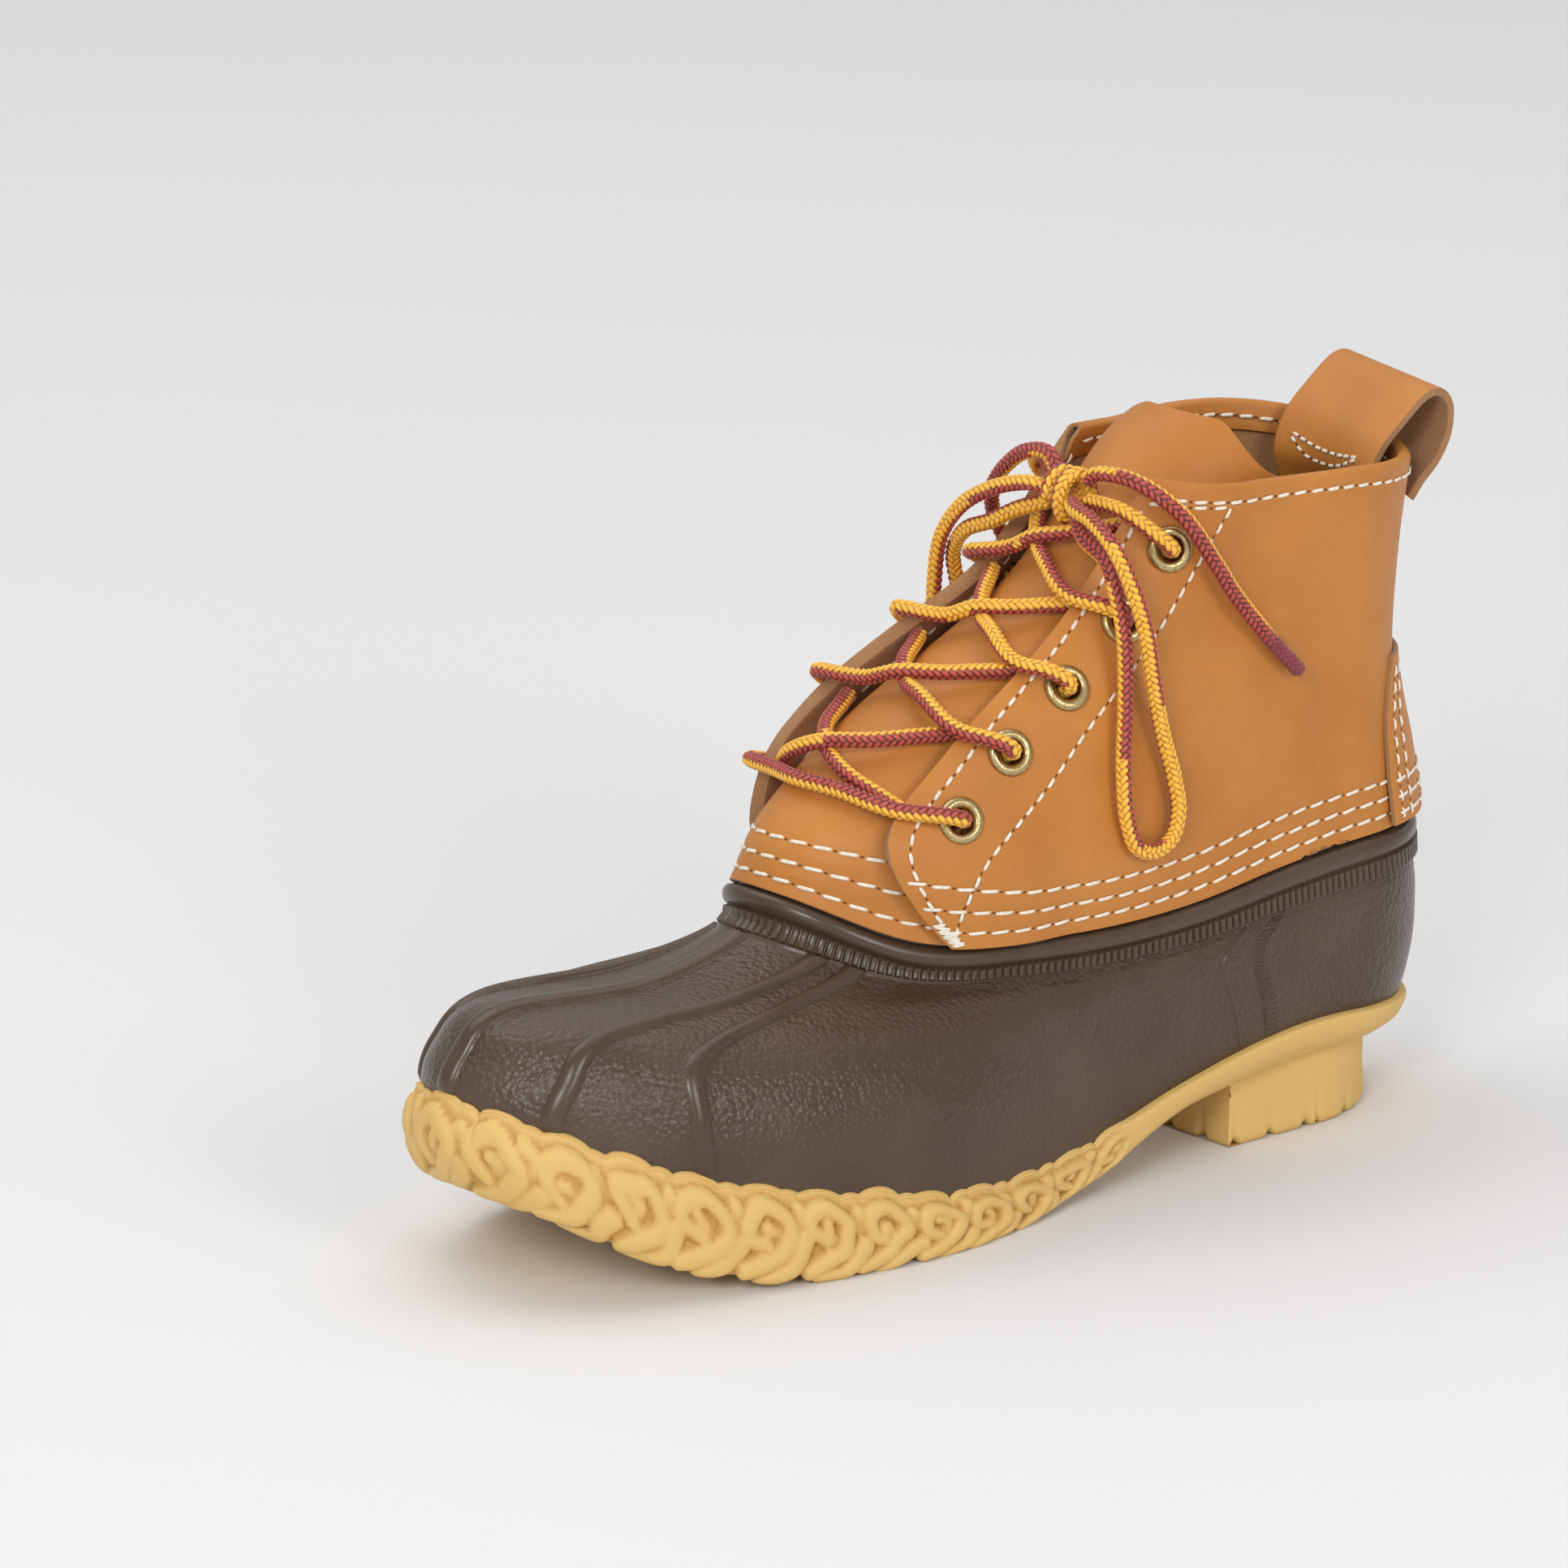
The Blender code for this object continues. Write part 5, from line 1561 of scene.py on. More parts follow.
@dataclass(frozen=True)
class RubberBottom:
    """Rubber shell: pebbled walls, toe ribs, heel seams, knurled band and the bead along its top."""

    back_columns: int = 270
    toe_columns: int = 470
    toe_from: float = 122.0
    wall: float = 2.4
    band: float = 5.0
    ribs: tuple[Rib, ...] = (Rib(134.0, 148.0), Rib(157.0, 156.0), Rib(180.0, 180.0), Rib(203.0, 204.0),
                             Rib(226.0, 212.0))
    rib_from: float = 1.0
    rib_half: float = 2.9
    rib_stand: float = 1.8
    rib_foot: tuple = (0.95, 1.3)
    rib_head: tuple = (4.95, 5.0)
    plain_from: tuple = (4.9, 4.96)
    body_levels: tuple = (0.85, 4.93)
    body_rows: int = 40
    lip: tuple = ((4.96, 0.1), (4.985, 0.55), (5.0, 0.6), (5.25, 0.55), (5.5, 0.55), (5.54, 0.6),
                  (5.575, 0.95), (5.63, 1.3), (5.70, 1.45), (5.78, 1.45), (5.85, 1.25), (5.91, 0.7),
                  (5.95, 0.1), (5.97, -2.4), (6.2, -3.0))
    plain_rise: tuple = (0.0, 0.3)
    spread_level: float = 2.0
    spread_steps: int = 4000
    knurl_level: float = 5.25
    knurl_pitch: float = 2.2
    knurl_wave: tuple = (0.0, 0.0, 0.9, 1.0, 1.0, 0.9)
    knurl_rows: tuple = ((5.0, -0.5), (5.015, 0.0), (5.25, 0.0), (5.49, 0.0), (5.515, -0.5))
    knurl_stand: float = 0.85
    knurl_depth: float = 0.75
    plain_seam: tuple = ((1.06, 1.081), (4.94, 1.322))
    plain_seam_rows: tuple = ((-0.9, -0.1), (-0.45, 0.22), (0.0, 0.34), (0.45, 0.22), (0.9, -0.1))
    ribbed_seam: tuple = ((1.09, 0.997), (4.94, 1.215))
    ribbed_seam_rows: tuple = ((-2.3, -0.3), (-2.0, 1.0), (0.0, 1.0), (2.0, 1.0), (2.3, -0.3))
    ribbed_seam_pitch: float = 1.5
    ribbed_seam_depth: float = 0.5
    ribbed_seam_slant: float = 0.5
    seam_steps: int = 260

    def build(self, finishes: Finishes) -> None:
        """Make the shell, its knurled band and its heel seams."""
        angles = self._columns()
        lip_levels, lip_stands = np.array(self.lip).T
        levels = np.concatenate([np.linspace(*self.body_levels, self.body_rows), lip_levels])
        stands = np.concatenate([np.zeros(self.body_rows), lip_stands])
        grid, level = np.broadcast_arrays(angles[None, :], levels[:, None])
        relief = self._ribs(grid, level)
        plain = np.maximum(between(*self.plain_rise, relief), between(*self.plain_from, level))
        points = LAST.stand_off(LAST.face, grid, level, stands[:, None] + relief)
        made = drape("rubber_shell", points, wrap=True, flip=True, plain=plain)
        thicken(made, self.wall)
        smooth(made, Sharp.SHELL)
        deliver(made, "dark_rubber", [finishes.rubber, finishes.plain_rubber], "rubber_bottom")
        self._knurl(finishes)
        self._seams(finishes)

    def _columns(self) -> Points:
        """Ring angles of the shell's columns, close together round the toe."""
        even = LAST.even_angles(self.spread_level, self.spread_steps)
        toe = np.abs(np.degrees(even) - 180) < 180 - self.toe_from
        dense = np.cumsum(np.where(toe, self.toe_columns / toe.sum(), self.back_columns / (~toe).sum()))
        count = self.toe_columns + self.back_columns
        return np.interp(np.arange(count) + 0.5, dense, even)

    def _ribs(self, angle: Points, level: Points) -> Points:
        """Relief of the toe ribs: round crests with sharp feet."""
        share = np.clip((level - self.rib_from) / (self.band - self.rib_from), 0, 1)
        faded = between(*self.rib_foot, level) * (1 - between(*self.rib_head, level))
        pace = LAST.pace(angle, level)
        relief = np.zeros(level.shape)
        for rib in self.ribs:
            middle = np.radians(rib.at_foxing + (rib.at_band - rib.at_foxing) * share)
            off = np.clip(np.abs(angle - middle) * pace / self.rib_half, 0, 1)
            relief = np.maximum(relief, np.sqrt(1 - off ** 2))
        return self.rib_stand * relief * faded

    def _knurl(self, finishes: Finishes) -> None:
        """Band of fine upright ribs under the bead."""
        length = reach_of(LAST.face(np.linspace(0, 2 * pi, self.spread_steps), self.knurl_level))[-1]
        count = round(length / self.knurl_pitch)
        angles = LAST.even_angles(self.knurl_level, count * len(self.knurl_wave))
        wave = np.tile(self.knurl_wave, count)
        levels, drops = np.array(self.knurl_rows).T
        grid, level = np.broadcast_arrays(angles[None, :], levels[:, None])
        middle = LAST.face(angles, self.knurl_level)
        ahead = unit(np.roll(middle, -1, axis=0) - np.roll(middle, 1, axis=0))
        slip = np.sum((LAST.face(grid, level) - middle) * ahead, axis=-1)
        grid = grid - slip / LAST.pace(grid, level)
        stand = self.knurl_stand + drops[:, None] + self.knurl_depth * wave[None, :] * (drops[:, None] == 0)
        points = LAST.stand_off(LAST.face, grid, level, stand)
        made = drape("knurled_band", points, wrap=True, flip=True)
        smooth(made, Sharp.KNURL)
        deliver(made, "dark_rubber", [finishes.plain_rubber])

    def _seams(self, finishes: Finishes) -> None:
        """Two moulded lines down the outer side of the heel, one plain and one ribbed."""
        for name, ends, rows, ribbed in (
                ("plain_heel_seam", self.plain_seam, self.plain_seam_rows, False),
                ("ribbed_heel_seam", self.ribbed_seam, self.ribbed_seam_rows, True)):
            (low, low_angle), (high, high_angle) = ends
            levels = np.linspace(low, high, self.seam_steps)
            angles = np.linspace(low_angle, high_angle, len(levels))
            run = reach_of(LAST.face(angles, levels))
            strips = []
            for across, stand in rows:
                if ribbed:
                    phase = 2 * pi * (run + self.ribbed_seam_slant * across) / self.ribbed_seam_pitch
                    teeth = self.ribbed_seam_depth * np.clip(np.sin(phase), 0, 1)
                    stand = np.maximum(stand, 0) * teeth + np.minimum(stand, 0)
                turned = angles + across / LAST.pace(angles, levels)
                strips.append(LAST.stand_off(LAST.face, turned, levels, stand))
            made = drape(name, np.stack(strips))
            smooth(made, Sharp.TURNED)
            deliver(made, "dark_rubber", [finishes.plain_rubber])


@dataclass(frozen=True)
class SewnRows:
    """Rows of sewing along levels, which draw the leather in."""

    levels: tuple[float, ...]
    level_height: float
    dip: float = 0.28
    half: float = 1.8

    def dips(self, level: Points) -> Points:
        """How far the leather is drawn in at levels."""
        nearest = [bump((level - row) * self.level_height, self.half) for row in self.levels]
        return self.dip * np.maximum.reduce(nearest)


@dataclass(frozen=True)
class Quarters:
    """Leather quarters from one throat edge round the heel to the other, with a rolled collar."""

    columns: int = 150
    rows: int = 96
    low_level: float = 6.03
    leather: float = 2.0
    eyestay_leather: float = 4.0
    eyestay_width: float = 21.0
    eyestay_step: float = 3.0
    eyestay_from: tuple = (6.6, 7.0)
    collar_rise: tuple = (0.9, 1.8, 2.6)
    roll_radius: float = 1.8
    roll_steps: int = 8
    roll_down: tuple = (10.0, 9.93, 9.85, 9.76)
    hem_wall: float = 1.0
    hem_ease: int = 10
    sewing: SewnRows = SewnRows((6.26, 6.50, 6.73), 19.0)
    cut_edge: float = 0.3
    pinked: tuple = (0.95, 1.14)
    pink_pitch: float = 0.042
    pink_depth: float = 0.07

    def build(self, finishes: Finishes) -> None:
        """Make the quarters and cut their eyelet holes."""
        share = np.linspace(0, 1, self.columns)
        levels = np.linspace(self.low_level, LAST.collar, self.rows)
        grid = np.stack([np.concatenate([float(LAST.throat_edge(level, Side.IN)) * share[:0:-1],
                                         float(LAST.throat_edge(level, Side.OUT)) * share])
                         for level in levels])
        level = np.broadcast_to(levels[:, None], grid.shape).copy()
        level[0] += self._pinking(grid[0])
        face = LAST.quarter(grid, level)
        normal = LAST.outward(LAST.quarter, grid, level)
        to_in = np.linalg.norm(face - face[:, :1], axis=-1)
        to_edge = np.minimum(to_in, np.linalg.norm(face - face[:, -1:], axis=-1))
        face = face + normal * (LAST.flare_at(level, Side.IN, to_in) - self.sewing.dips(level))[..., None]
        doubled = (1 - between(self.eyestay_width - self.eyestay_step, self.eyestay_width, to_edge))
        doubled = doubled * between(*self.eyestay_from, level)
        wall = self.leather + (self.eyestay_leather - self.leather) * doubled
        points, walls = self._rolled(face, normal, wall, grid[-1])
        made = drape("leather_quarters", points, flip=True, wall=walls / self.eyestay_leather)
        thicken(made, self.eyestay_leather, "wall", edge=self.cut_edge)
        cutter = EYELETS.cutters()
        apply(made, "BOOLEAN", operation="DIFFERENCE", solver="EXACT", object=cutter)
        bpy.data.objects.remove(cutter)
        deliver_leather(made, finishes, "quarters")

    def _pinking(self, angle: Points) -> Points:
        """Short zigzag cut in the lower edge."""
        zigzag = np.abs((angle / self.pink_pitch) % 1 - 0.5) * 2
        return self.pink_depth * zigzag * (angle > self.pinked[0]) * (angle < self.pinked[1])

    def _rolled(self, face: Points, normal: Points, wall: Points, angles: Points) -> tuple[Points, Points]:
        """The face with its top drawn up and rolled over to the inside.

        Args:
            face: Rows of the outer face.
            normal: Its normals.
            wall: Its wall.
            angles: Ring angles of the top row.

        Returns:
            Rows with the roll, and the wall at each point.
        """
        out = normal[-1]
        up = unit(face[-1] - face[-3])
        rise = [face[-1] + up * height for height in self.collar_rise]
        centre = rise[-1] - out * self.roll_radius
        turns = np.linspace(0, pi, self.roll_steps + 1)[1:]
        roll = [centre + self.roll_radius * (out * np.cos(turn) + up * np.sin(turn)) for turn in turns]
        down = [LAST.stand_off(LAST.quarter, angles, level, -2 * self.roll_radius)
                for level in self.roll_down]
        points = np.concatenate([face, np.stack(rise + roll + down)])
        hem = np.full((len(points) - len(face), face.shape[1]), self.hem_wall)
        eased = wall.copy()
        top = self.rows // self.hem_ease
        ease = np.linspace(0, 1, top)[:, None]
        eased[-top:] = eased[-top:] * (1 - ease) + self.hem_wall * ease
        return points, np.concatenate([eased, hem])


@dataclass(frozen=True)
class Tongue:
    """Leather vamp and tongue under the quarters."""

    columns: int = 110
    rows: int = 120
    low_level: float = 6.03
    leather: float = 2.0
    corner: float = 0.9
    corner_out: tuple = (0.45, 1.05)
    corner_in: tuple = (0.18, 1.0)
    sewing: SewnRows = SewnRows((6.24, 6.52, 6.80), 17.0)
    cut_edge: float = 0.3

    def angles(self, level: Points, share: Points) -> Points:
        """Ring angles across the tongue at levels, for shares from -1 to 1."""
        throat, ring = LAST.throat_at(level), LAST.ring_at(level)
        wing = pi - LAST.angle_at(throat.wing_x, ring.x_back, throat.tongue_x)
        return pi + share * wing

    def build(self, finishes: Finishes) -> None:
        """Make the tongue."""
        share = np.linspace(-1, 1, self.columns)
        fall = np.where(share < 0, between(*self.corner_out, -share), between(*self.corner_in, share))
        top = LAST.tongue_top - self.corner * fall
        level = self.low_level + np.linspace(0, 1, self.rows)[:, None] * (top - self.low_level)
        grid = np.stack([self.angles(row, share) for row in level])
        points = LAST.stand_off(LAST.instep, grid, level, -self.sewing.dips(level))
        made = drape("leather_tongue", points, flip=True)
        thicken(made, self.leather, edge=self.cut_edge)
        deliver_leather(made, finishes, "tongue")


class Stay(NamedTuple):
    """Back stay at a level: half its angle round the heel, and how far it stands off the quarters."""

    level: float
    half_angle: float
    stand: float


class Strap(NamedTuple):
    """Point of the pull loop's middle line, and how far its edges stand forward of it."""

    x: float
    z: float
    camber: float


@dataclass(frozen=True)
class BackPieces:
    """Leather strip over the back seam, and the strap looped over the collar above it."""

    stays: tuple[Stay, ...] = (Stay(6.06, 0.74, 3.6), Stay(6.5, 0.735, 3.4), Stay(7.0, 0.725, 2.9),
                               Stay(7.5, 0.70, 2.4), Stay(8.05, 0.60, 2.1))
    stay_thin: float = 0.42
    stay_leather: float = 1.5
    stay_rows: int = 60
    columns: int = 48
    strap: tuple[Strap, ...] = (
        Strap(9.5, 142.0, 6.4), Strap(10.2, 150.0, 6.2), Strap(13.5, 158.0, 4.8), Strap(17.5, 165.0, 3.0),
        Strap(15.0, 173.0, 1.5), Strap(8.5, 179.5, 0.5), Strap(1.0, 185.0, 0.0), Strap(-4.5, 185.5, 0.0),
        Strap(-8.0, 181.5, 0.0), Strap(-8.0, 174.5, 0.5), Strap(-5.5, 167.5, 2.0), Strap(-2.0, 162.0, 4.0),
        Strap(0.4, 157.0, 5.5),
    )
    lean: float = 2.6
    lean_z: tuple = (150.0, 175.0)
    half_width: float = 17.5
    strap_leather: float = 2.2
    strap_rows: int = 110
    cut_edge: float = 0.35

    def stay_at(self, share: Points, place: Points) -> Points:
        """Outer face of the stay at shares across from -1 to 1 and places along from 0 to 1."""
        rows = through(np.arange(len(self.stays)), self.stays, place * (len(self.stays) - 1))
        stand = rows[..., 2] * (1 - self.stay_thin * share ** 2)
        return LAST.stand_off(LAST.face, share * rows[..., 1], rows[..., 0], stand)

    def strap_at(self, share: Points, place: Points) -> Points:
        """Middle face of the strap at shares across from -1 to 1 and places along from 0 to 1."""
        row = through(np.arange(len(self.strap)), self.strap, place * (len(self.strap) - 1))
        raised = between(*self.lean_z, row[..., 1])
        return np.stack([row[..., 0] + row[..., 2] * share ** 2, self.half_width * share,
                         row[..., 1] - self.lean * raised * share], axis=-1)

    def build(self, finishes: Finishes) -> None:
        """Make the stay and the loop."""
        share = np.linspace(-1, 1, self.columns)
        across, place = np.meshgrid(share, np.linspace(0, 1, self.stay_rows))
        made = drape("back_stay_strip", self.stay_at(across, place), flip=True)
        thicken(made, self.stay_leather, edge=self.cut_edge)
        deliver_leather(made, finishes, "back_stay")
        across, place = np.meshgrid(share, np.linspace(0, 1, self.strap_rows))
        made = drape("pull_loop_strap", self.strap_at(across, place))
        thicken(made, self.strap_leather, offset=0.0, edge=self.cut_edge)
        deliver_leather(made, finishes, "pull_loop")


@dataclass(frozen=True)
class Insole:
    """Felted footbed inside the shell."""

    columns: int = 220
    inset: float = 3.6
    thick: float = 4.0
    edge: float = 1.2
    corner: tuple = (0.3, 0.4)
    shoulder: float = 9.0
    spine: float = 12.0

    def build(self, finishes: Finishes) -> None:
        """Make the footbed with rounded edges."""
        angles = LAST.even_angles(0.0, self.columns)
        edge, normal = LAST.sole_edge(angles)

        def row(height: float, inset: float) -> Points:
            """Ring of the footbed."""
            return edge + (0, 0, height) - normal * inset

        drop, back = self.corner
        rows = [LAST.spine(angles, edge[:, 2], self.spine), row(0.0, self.shoulder), row(0.0, self.inset),
                row(self.thick - self.edge, self.inset), row(self.thick - drop, self.inset + back),
                row(self.thick, self.inset + self.edge), row(self.thick, self.shoulder),
                LAST.spine(angles, edge[:, 2] + self.thick, self.spine)]
        made = drape("footbed", np.stack(rows), wrap=True)
        face_out(made)
        smooth(made, Sharp.TURNED)
        deliver(made, "footbed", [finishes.felt], "insole")


class Seam(NamedTuple):
    """Line of sewing: points, their normals, and the pitch and length of its stitches."""

    line: Points
    normal: Points
    pitch: float
    length: float


@dataclass(frozen=True)
class Stitching:
    """White stitches and painted shade marks for their needle holes on all the leather."""

    width: float = 0.90
    thick: float = 0.68
    lift: float = 0.30
    sink: float = 0.30
    slant: float = 0.08
    rings: int = 7
    sides: int = 6
    # The hole sizes are those of the painted shade marks of the needle holes.
    hole_length: float = 1.3
    hole_width: float = 0.55
    hole_thick: float = 0.12
    hole_lift: float = 0.04
    probe: float = 0.3
    end_power: int = 6
    end_width: float = 0.1
    scatter: float = 0.10
    seed: int = 11
    lower_points: int = 700
    eyestay_points: int = 100
    collar_points: tuple = (500, 60)
    tongue_points: int = 300
    stay_points: tuple = (80, 160)
    moon_points: int = 80
    tack_points: int = 8
    long: tuple = (6.5, 5.4)
    short: tuple = (4.5, 3.2)
    collar: tuple = (5.4, 4.0)
    strap: tuple = (2.6, 2.0)
    lower_end: float = 0.02
    edge_inset: tuple = ((6.18, 3.2), (6.5, 4.8), (7.05, 5.6), (7.9, 6.2), (8.6, 4.6), (9.2, 3.8),
                         (9.85, 3.2))
    second_inset: tuple = ((6.14, 2.4), (6.43, 10.7), (6.79, 21.4), (7.15, 28.7), (7.56, 33.2), (8.12, 33.4),
                           (8.45, 31.6), (8.79, 28.4), (9.3, 26.2), (9.93, 26.4))
    collar_level: float = 9.96
    second_collar_level: float = 9.90
    second_collar_end: float = 26.0
    collar_end: float = 0.07
    tongue_reach: float = 0.98
    stay_step: float = 0.004
    stay_edges: tuple = (-0.93, -0.84, 0.84, 0.93)
    stay_length: tuple = (0.02, 0.97)
    stay_rows: tuple = (0.45, 1.0, 1.46)
    stay_reach: float = 0.97
    tack_levels: tuple = (6.09, 6.36)
    tack_half: float = 2.2
    tack_runs: int = 9
    tack_lift: float = 0.15
    tack_share: tuple = (0.99, 0.95)
    moon: tuple = ((-0.74, 0.291, 0.283), (-0.46, 0.281, 0.252), (-0.14, 0.275, 0.244), (0.22, 0.277, 0.251),
                   (0.62, 0.289, 0.284))

    def build(self, finishes: Finishes, quarters: Quarters, tongue: Tongue, back: BackPieces) -> None:
        """Sew every seam."""
        self._sew("lower_seams", self._lower(quarters), finishes)
        self._sew("eyestay_seams", self._eyestays(quarters), finishes)
        self._sew("collar_seams", self._collar(quarters), finishes)
        self._sew("tongue_seams", self._tongue(tongue), finishes)
        self._sew("back_seams", [*self._back(back), *self._moon(back)], finishes)
        self._sew("bar_tacks", self._tacks(), finishes)

    def _round(self, level: float, short: float, count: int) -> Points:
        """Ring angles round the quarters, short of both front edges."""
        ends = [float(LAST.throat_edge(level, side)) - side.value * short for side in (Side.IN, Side.OUT)]
        return np.linspace(*ends, count)

    def _on_quarter(self, angle: Points, level: Points, dip: float = 0.0) -> tuple[Points, Points]:
        """Points and normals of a line on the quarters, drawn in by a dip."""
        normal = LAST.outward(LAST.quarter, angle, level)
        return LAST.quarter(angle, level) - normal * dip, normal

    def _lower(self, quarters: Quarters) -> Iterator[Seam]:
        """Three rows along the lower edge."""
        for level in quarters.sewing.levels:
            angle = self._round(level, self.lower_end, self.lower_points)
            line, normal = self._on_quarter(angle, level, quarters.sewing.dip)
            yield Seam(line, normal, *self.long)

    def _eyestays(self, quarters: Quarters) -> Iterator[Seam]:
        """Rows along the eyestays, meeting below, and the edge row's other face inside the flare."""
        for side in Side:
            for table in (self.edge_inset, self.second_inset):
                marks, insets = np.array(table).T
                levels = np.linspace(marks[0], marks[-1], self.eyestay_points)
                inset = through(marks, insets, levels)
                angle = np.array([LAST.inset_angle(level, side, back) for level, back in zip(levels, inset)])
                line, normal = self._on_quarter(angle, levels)
                line = line + normal * LAST.flare_at(levels, side, inset)[:, None]
                yield Seam(line, normal, *self.short)
                if side is Side.IN and table is self.edge_inset:
                    inner = line - normal * (quarters.eyestay_leather + self.lift)
                    yield Seam(inner, -normal, *self.short)

    def _collar(self, quarters: Quarters) -> Iterator[Seam]:
        """The row under the rolled collar, its second row on the eyestays and its inner face."""
        level = self.collar_level
        along, across = self.collar_points
        line, normal = self._on_quarter(self._round(level, self.collar_end, along), level)
        yield Seam(line, normal, *self.collar)
        inner = line - normal * (2 * quarters.roll_radius + quarters.hem_wall)
        yield Seam(inner, -normal, *self.collar)
        for side in Side:
            level = self.second_collar_level
            start = float(LAST.throat_edge(level, side)) - side.value * self.collar_end
            angle = np.linspace(start, LAST.inset_angle(level, side, self.second_collar_end), across)
            line, normal = self._on_quarter(angle, level)
            yield Seam(line, normal, *self.collar)

    def _tongue(self, tongue: Tongue) -> Iterator[Seam]:
        """Three rows across the front of the vamp."""
        for level in tongue.sewing.levels:
            share = np.linspace(-self.tongue_reach, self.tongue_reach, self.tongue_points)
            angle = tongue.angles(level, share)
            normal = LAST.outward(LAST.instep, angle, level)
            line = LAST.instep(angle, level) - normal * tongue.sewing.dip
            yield Seam(line, normal, *self.long)

    def _across(self, surface: Surface, share: Points, place: Points) -> tuple[Points, Points]:
        """Points and normals of a line on a strip, by its share across and place along."""
        step = self.stay_step
        line = surface(share, place)
        wide = surface(share + step, place) - surface(share - step, place)
        tall = surface(share, place + step) - surface(share, place - step)
        return line, unit(np.cross(tall, wide))

    def _back(self, back: BackPieces) -> Iterator[Seam]:
        """Both edges of the back stay, and the lower rows where they pass over it."""
        along, across = self.stay_points
        place = np.linspace(*self.stay_length, along)
        for share in self.stay_edges:
            line, normal = self._across(back.stay_at, np.full(place.shape, share), place)
            yield Seam(line, normal, *self.short)
        share = np.linspace(-self.stay_reach, self.stay_reach, across)
        for row in self.stay_rows:
            place = np.full(share.shape, row / (len(back.stays) - 1))
            line, normal = self._across(back.stay_at, share, place)
            yield Seam(line, normal, *self.long)

    def _moon(self, back: BackPieces) -> Iterator[Seam]:
        """Half moon that holds the inner leg of the pull loop."""
        marks, upper, lower = np.array(self.moon).T
        share = np.linspace(marks[0], marks[-1], self.moon_points)
        for row in (upper, lower):
            line, normal = self._across(back.strap_at, share, through(marks, row, share))
            normal = normal * np.sign(normal[:, :1])
            line = line + normal * back.strap_leather / 2
            yield Seam(line, normal, *self.strap)

    def _tacks(self) -> Iterator[Seam]:
        """Zigzag of thread where the rows of an eyestay meet."""
        levels = np.linspace(*self.tack_levels, self.tack_runs + 1)
        for side in Side:
            for number in range(self.tack_runs):
                shift = self.tack_half * (-1) ** number
                level = np.linspace(levels[number], levels[number + 1], self.tack_points)
                insets = np.linspace(self.tack_half + 1 - shift, self.tack_half + 1 + shift, len(level))
                angle = np.array([LAST.inset_angle(at, side, back) for at, back in zip(level, insets)])
                line, normal = self._on_quarter(angle, level)
                pitch, length = float(reach_of(line)[-1]) * np.array(self.tack_share)
                yield Seam(line + normal * self.tack_lift, normal, pitch, length)

    def _sew(self, name: str, seams: Iterable[Seam], finishes: Finishes) -> None:
        """Make the stitches of seams, and the painted shade marks of their holes, as two pieces."""
        draw = np.random.default_rng(self.seed)
        stitches, holes = [], []
        for seam in seams:
            total = reach_of(seam.line)[-1]
            count = int(total / seam.pitch)
            middles = (np.arange(count) + 0.5) * total / count
            middles = middles + draw.normal(0, self.scatter, count) * (count > 1)
            gaps = np.arange(1, count) * total / count
            stitches.append(self._loops(seam, middles, seam.length, self.width, self.lift, self.thick))
            # Painted shade: thin dark marks in the gaps between stitches stand for the needle holes.
            holes.append(self._loops(seam, gaps, self.hole_length, self.hole_width, self.hole_lift,
                                     self.hole_thick))
        self._mesh(f"{name}_thread", stitches, finishes.thread)
        if sum(len(group) for group in holes):
            self._mesh(f"{name}_holes", holes, finishes.hole)

    def _loops(self, seam: Seam, middles: Points, length: float, width: float, lift: float,
               thick: float) -> Points:
        """Points of capsules along a seam.

        Args:
            seam: The line of sewing.
            middles: Distance along it of each capsule.
            length: Length of a capsule.
            width: Width of a capsule.
            lift: How high its middle lies over the leather.
            thick: Its thickness.

        Returns:
            Points by capsule, ring and side.
        """
        share = np.linspace(-1, 1, self.rings)
        places = middles[:, None] + share[None, :] * length / 2
        normal = unit(along_line(seam.line, places, seam.normal))
        ahead = along_line(seam.line, places + self.probe) - along_line(seam.line, places - self.probe)
        side = unit(np.cross(normal, ahead))
        ends = share ** self.end_power
        height = lift * (1 - ends) - self.sink * ends
        swell = np.sqrt(np.clip(1 - ends, 0, 1)) * (1 - self.end_width) + self.end_width
        spot = along_line(seam.line, places) + normal * height[None, :, None]
        spot = spot + side * (self.slant * share * length / 2)[None, :, None]
        turn = np.linspace(0, 2 * pi, self.sides, endpoint=False)
        across = side[:, :, None] * np.cos(turn)[None, None, :, None] * width / 2
        upward = normal[:, :, None] * np.sin(turn)[None, None, :, None] * thick / 2
        return spot[:, :, None] + (across + upward) * swell[None, :, None, None]

    def _mesh(self, name: str, groups: list[Points], material: Material) -> None:
        """One piece of many capsules."""
        points = np.concatenate(groups)
        faces = []
        size = self.rings * self.sides
        for number in range(len(points)):
            start = number * size
            faces.append([start + side for side in range(self.sides)][::-1])
            for ring in range(self.rings - 1):
                low = start + ring * self.sides
                high = low + self.sides
                for side in range(self.sides):
                    following = (side + 1) % self.sides
                    faces.append((low + side, low + following, high + following, high + side))
            faces.append([start + size - self.sides + side for side in range(self.sides)])
        made = from_arrays(name, points, faces)
        face_out(made)
        smooth(made, Sharp.THREAD)
        deliver(made, "tan_leather", [material])


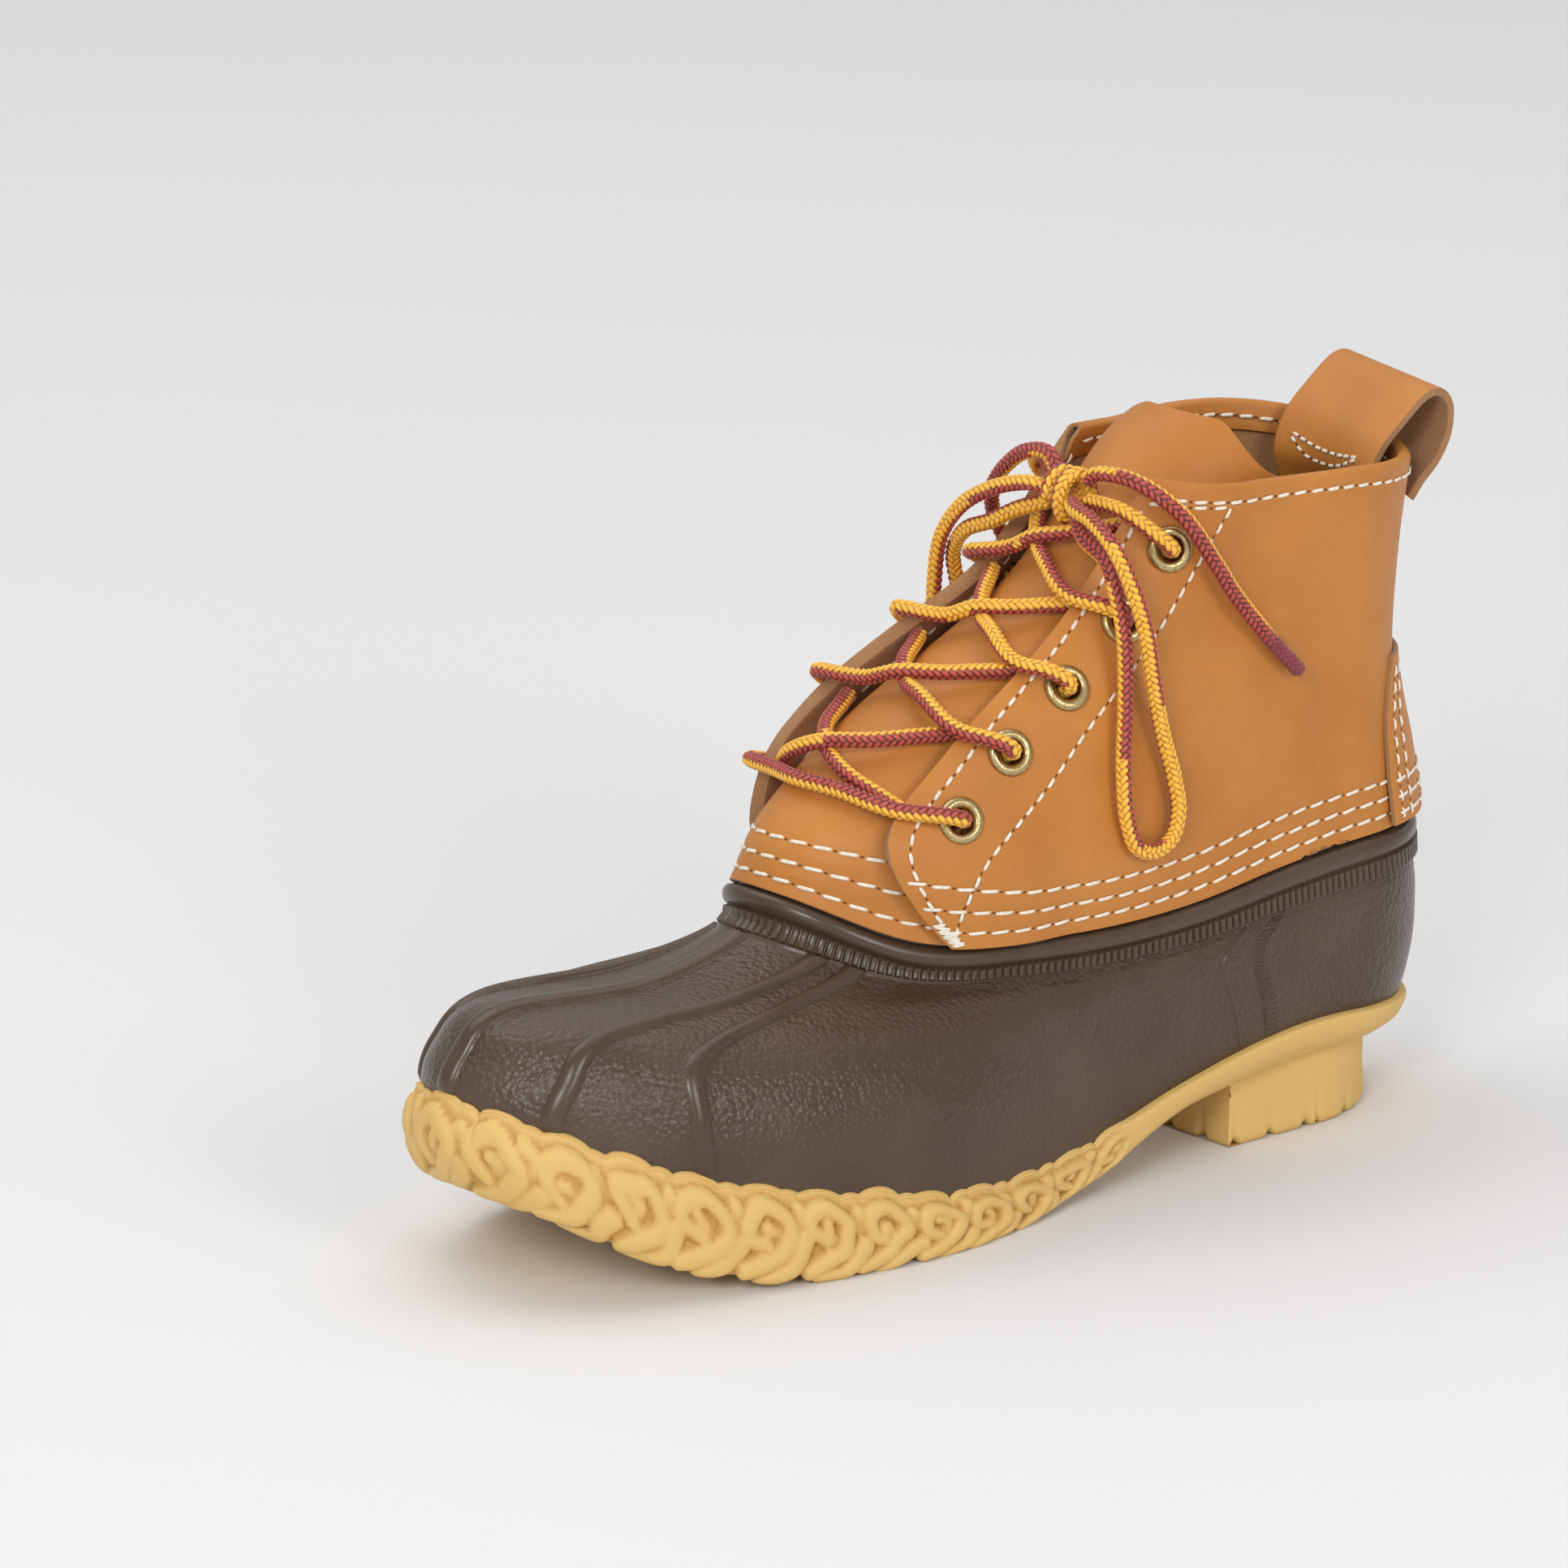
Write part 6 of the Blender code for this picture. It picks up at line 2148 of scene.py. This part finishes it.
def main() -> None:
    """Build the dressed boot around its frame."""
    logging.basicConfig(level=logging.INFO, format="%(message)s")
    for old in list(bpy.data.objects):
        bpy.data.objects.remove(old, do_unlink=True)
    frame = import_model()
    LOG.info("frame of %d nodes", len(frame["nodes"]))
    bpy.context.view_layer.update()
    finishes = Finishes()
    Studio().build(finishes)
    lacing = Lacing()
    lacing.build_bow(finishes)
    lacing.build_strands(finishes)
    Outsole().build(finishes)
    RubberBottom().build(finishes)
    quarters, tongue, back = Quarters(), Tongue(), BackPieces()
    quarters.build(finishes)
    tongue.build(finishes)
    back.build(finishes)
    Insole().build(finishes)
    EYELETS.build(finishes)
    Stitching().build(finishes, quarters, tongue, back)


if __name__ == "__main__":
    main()
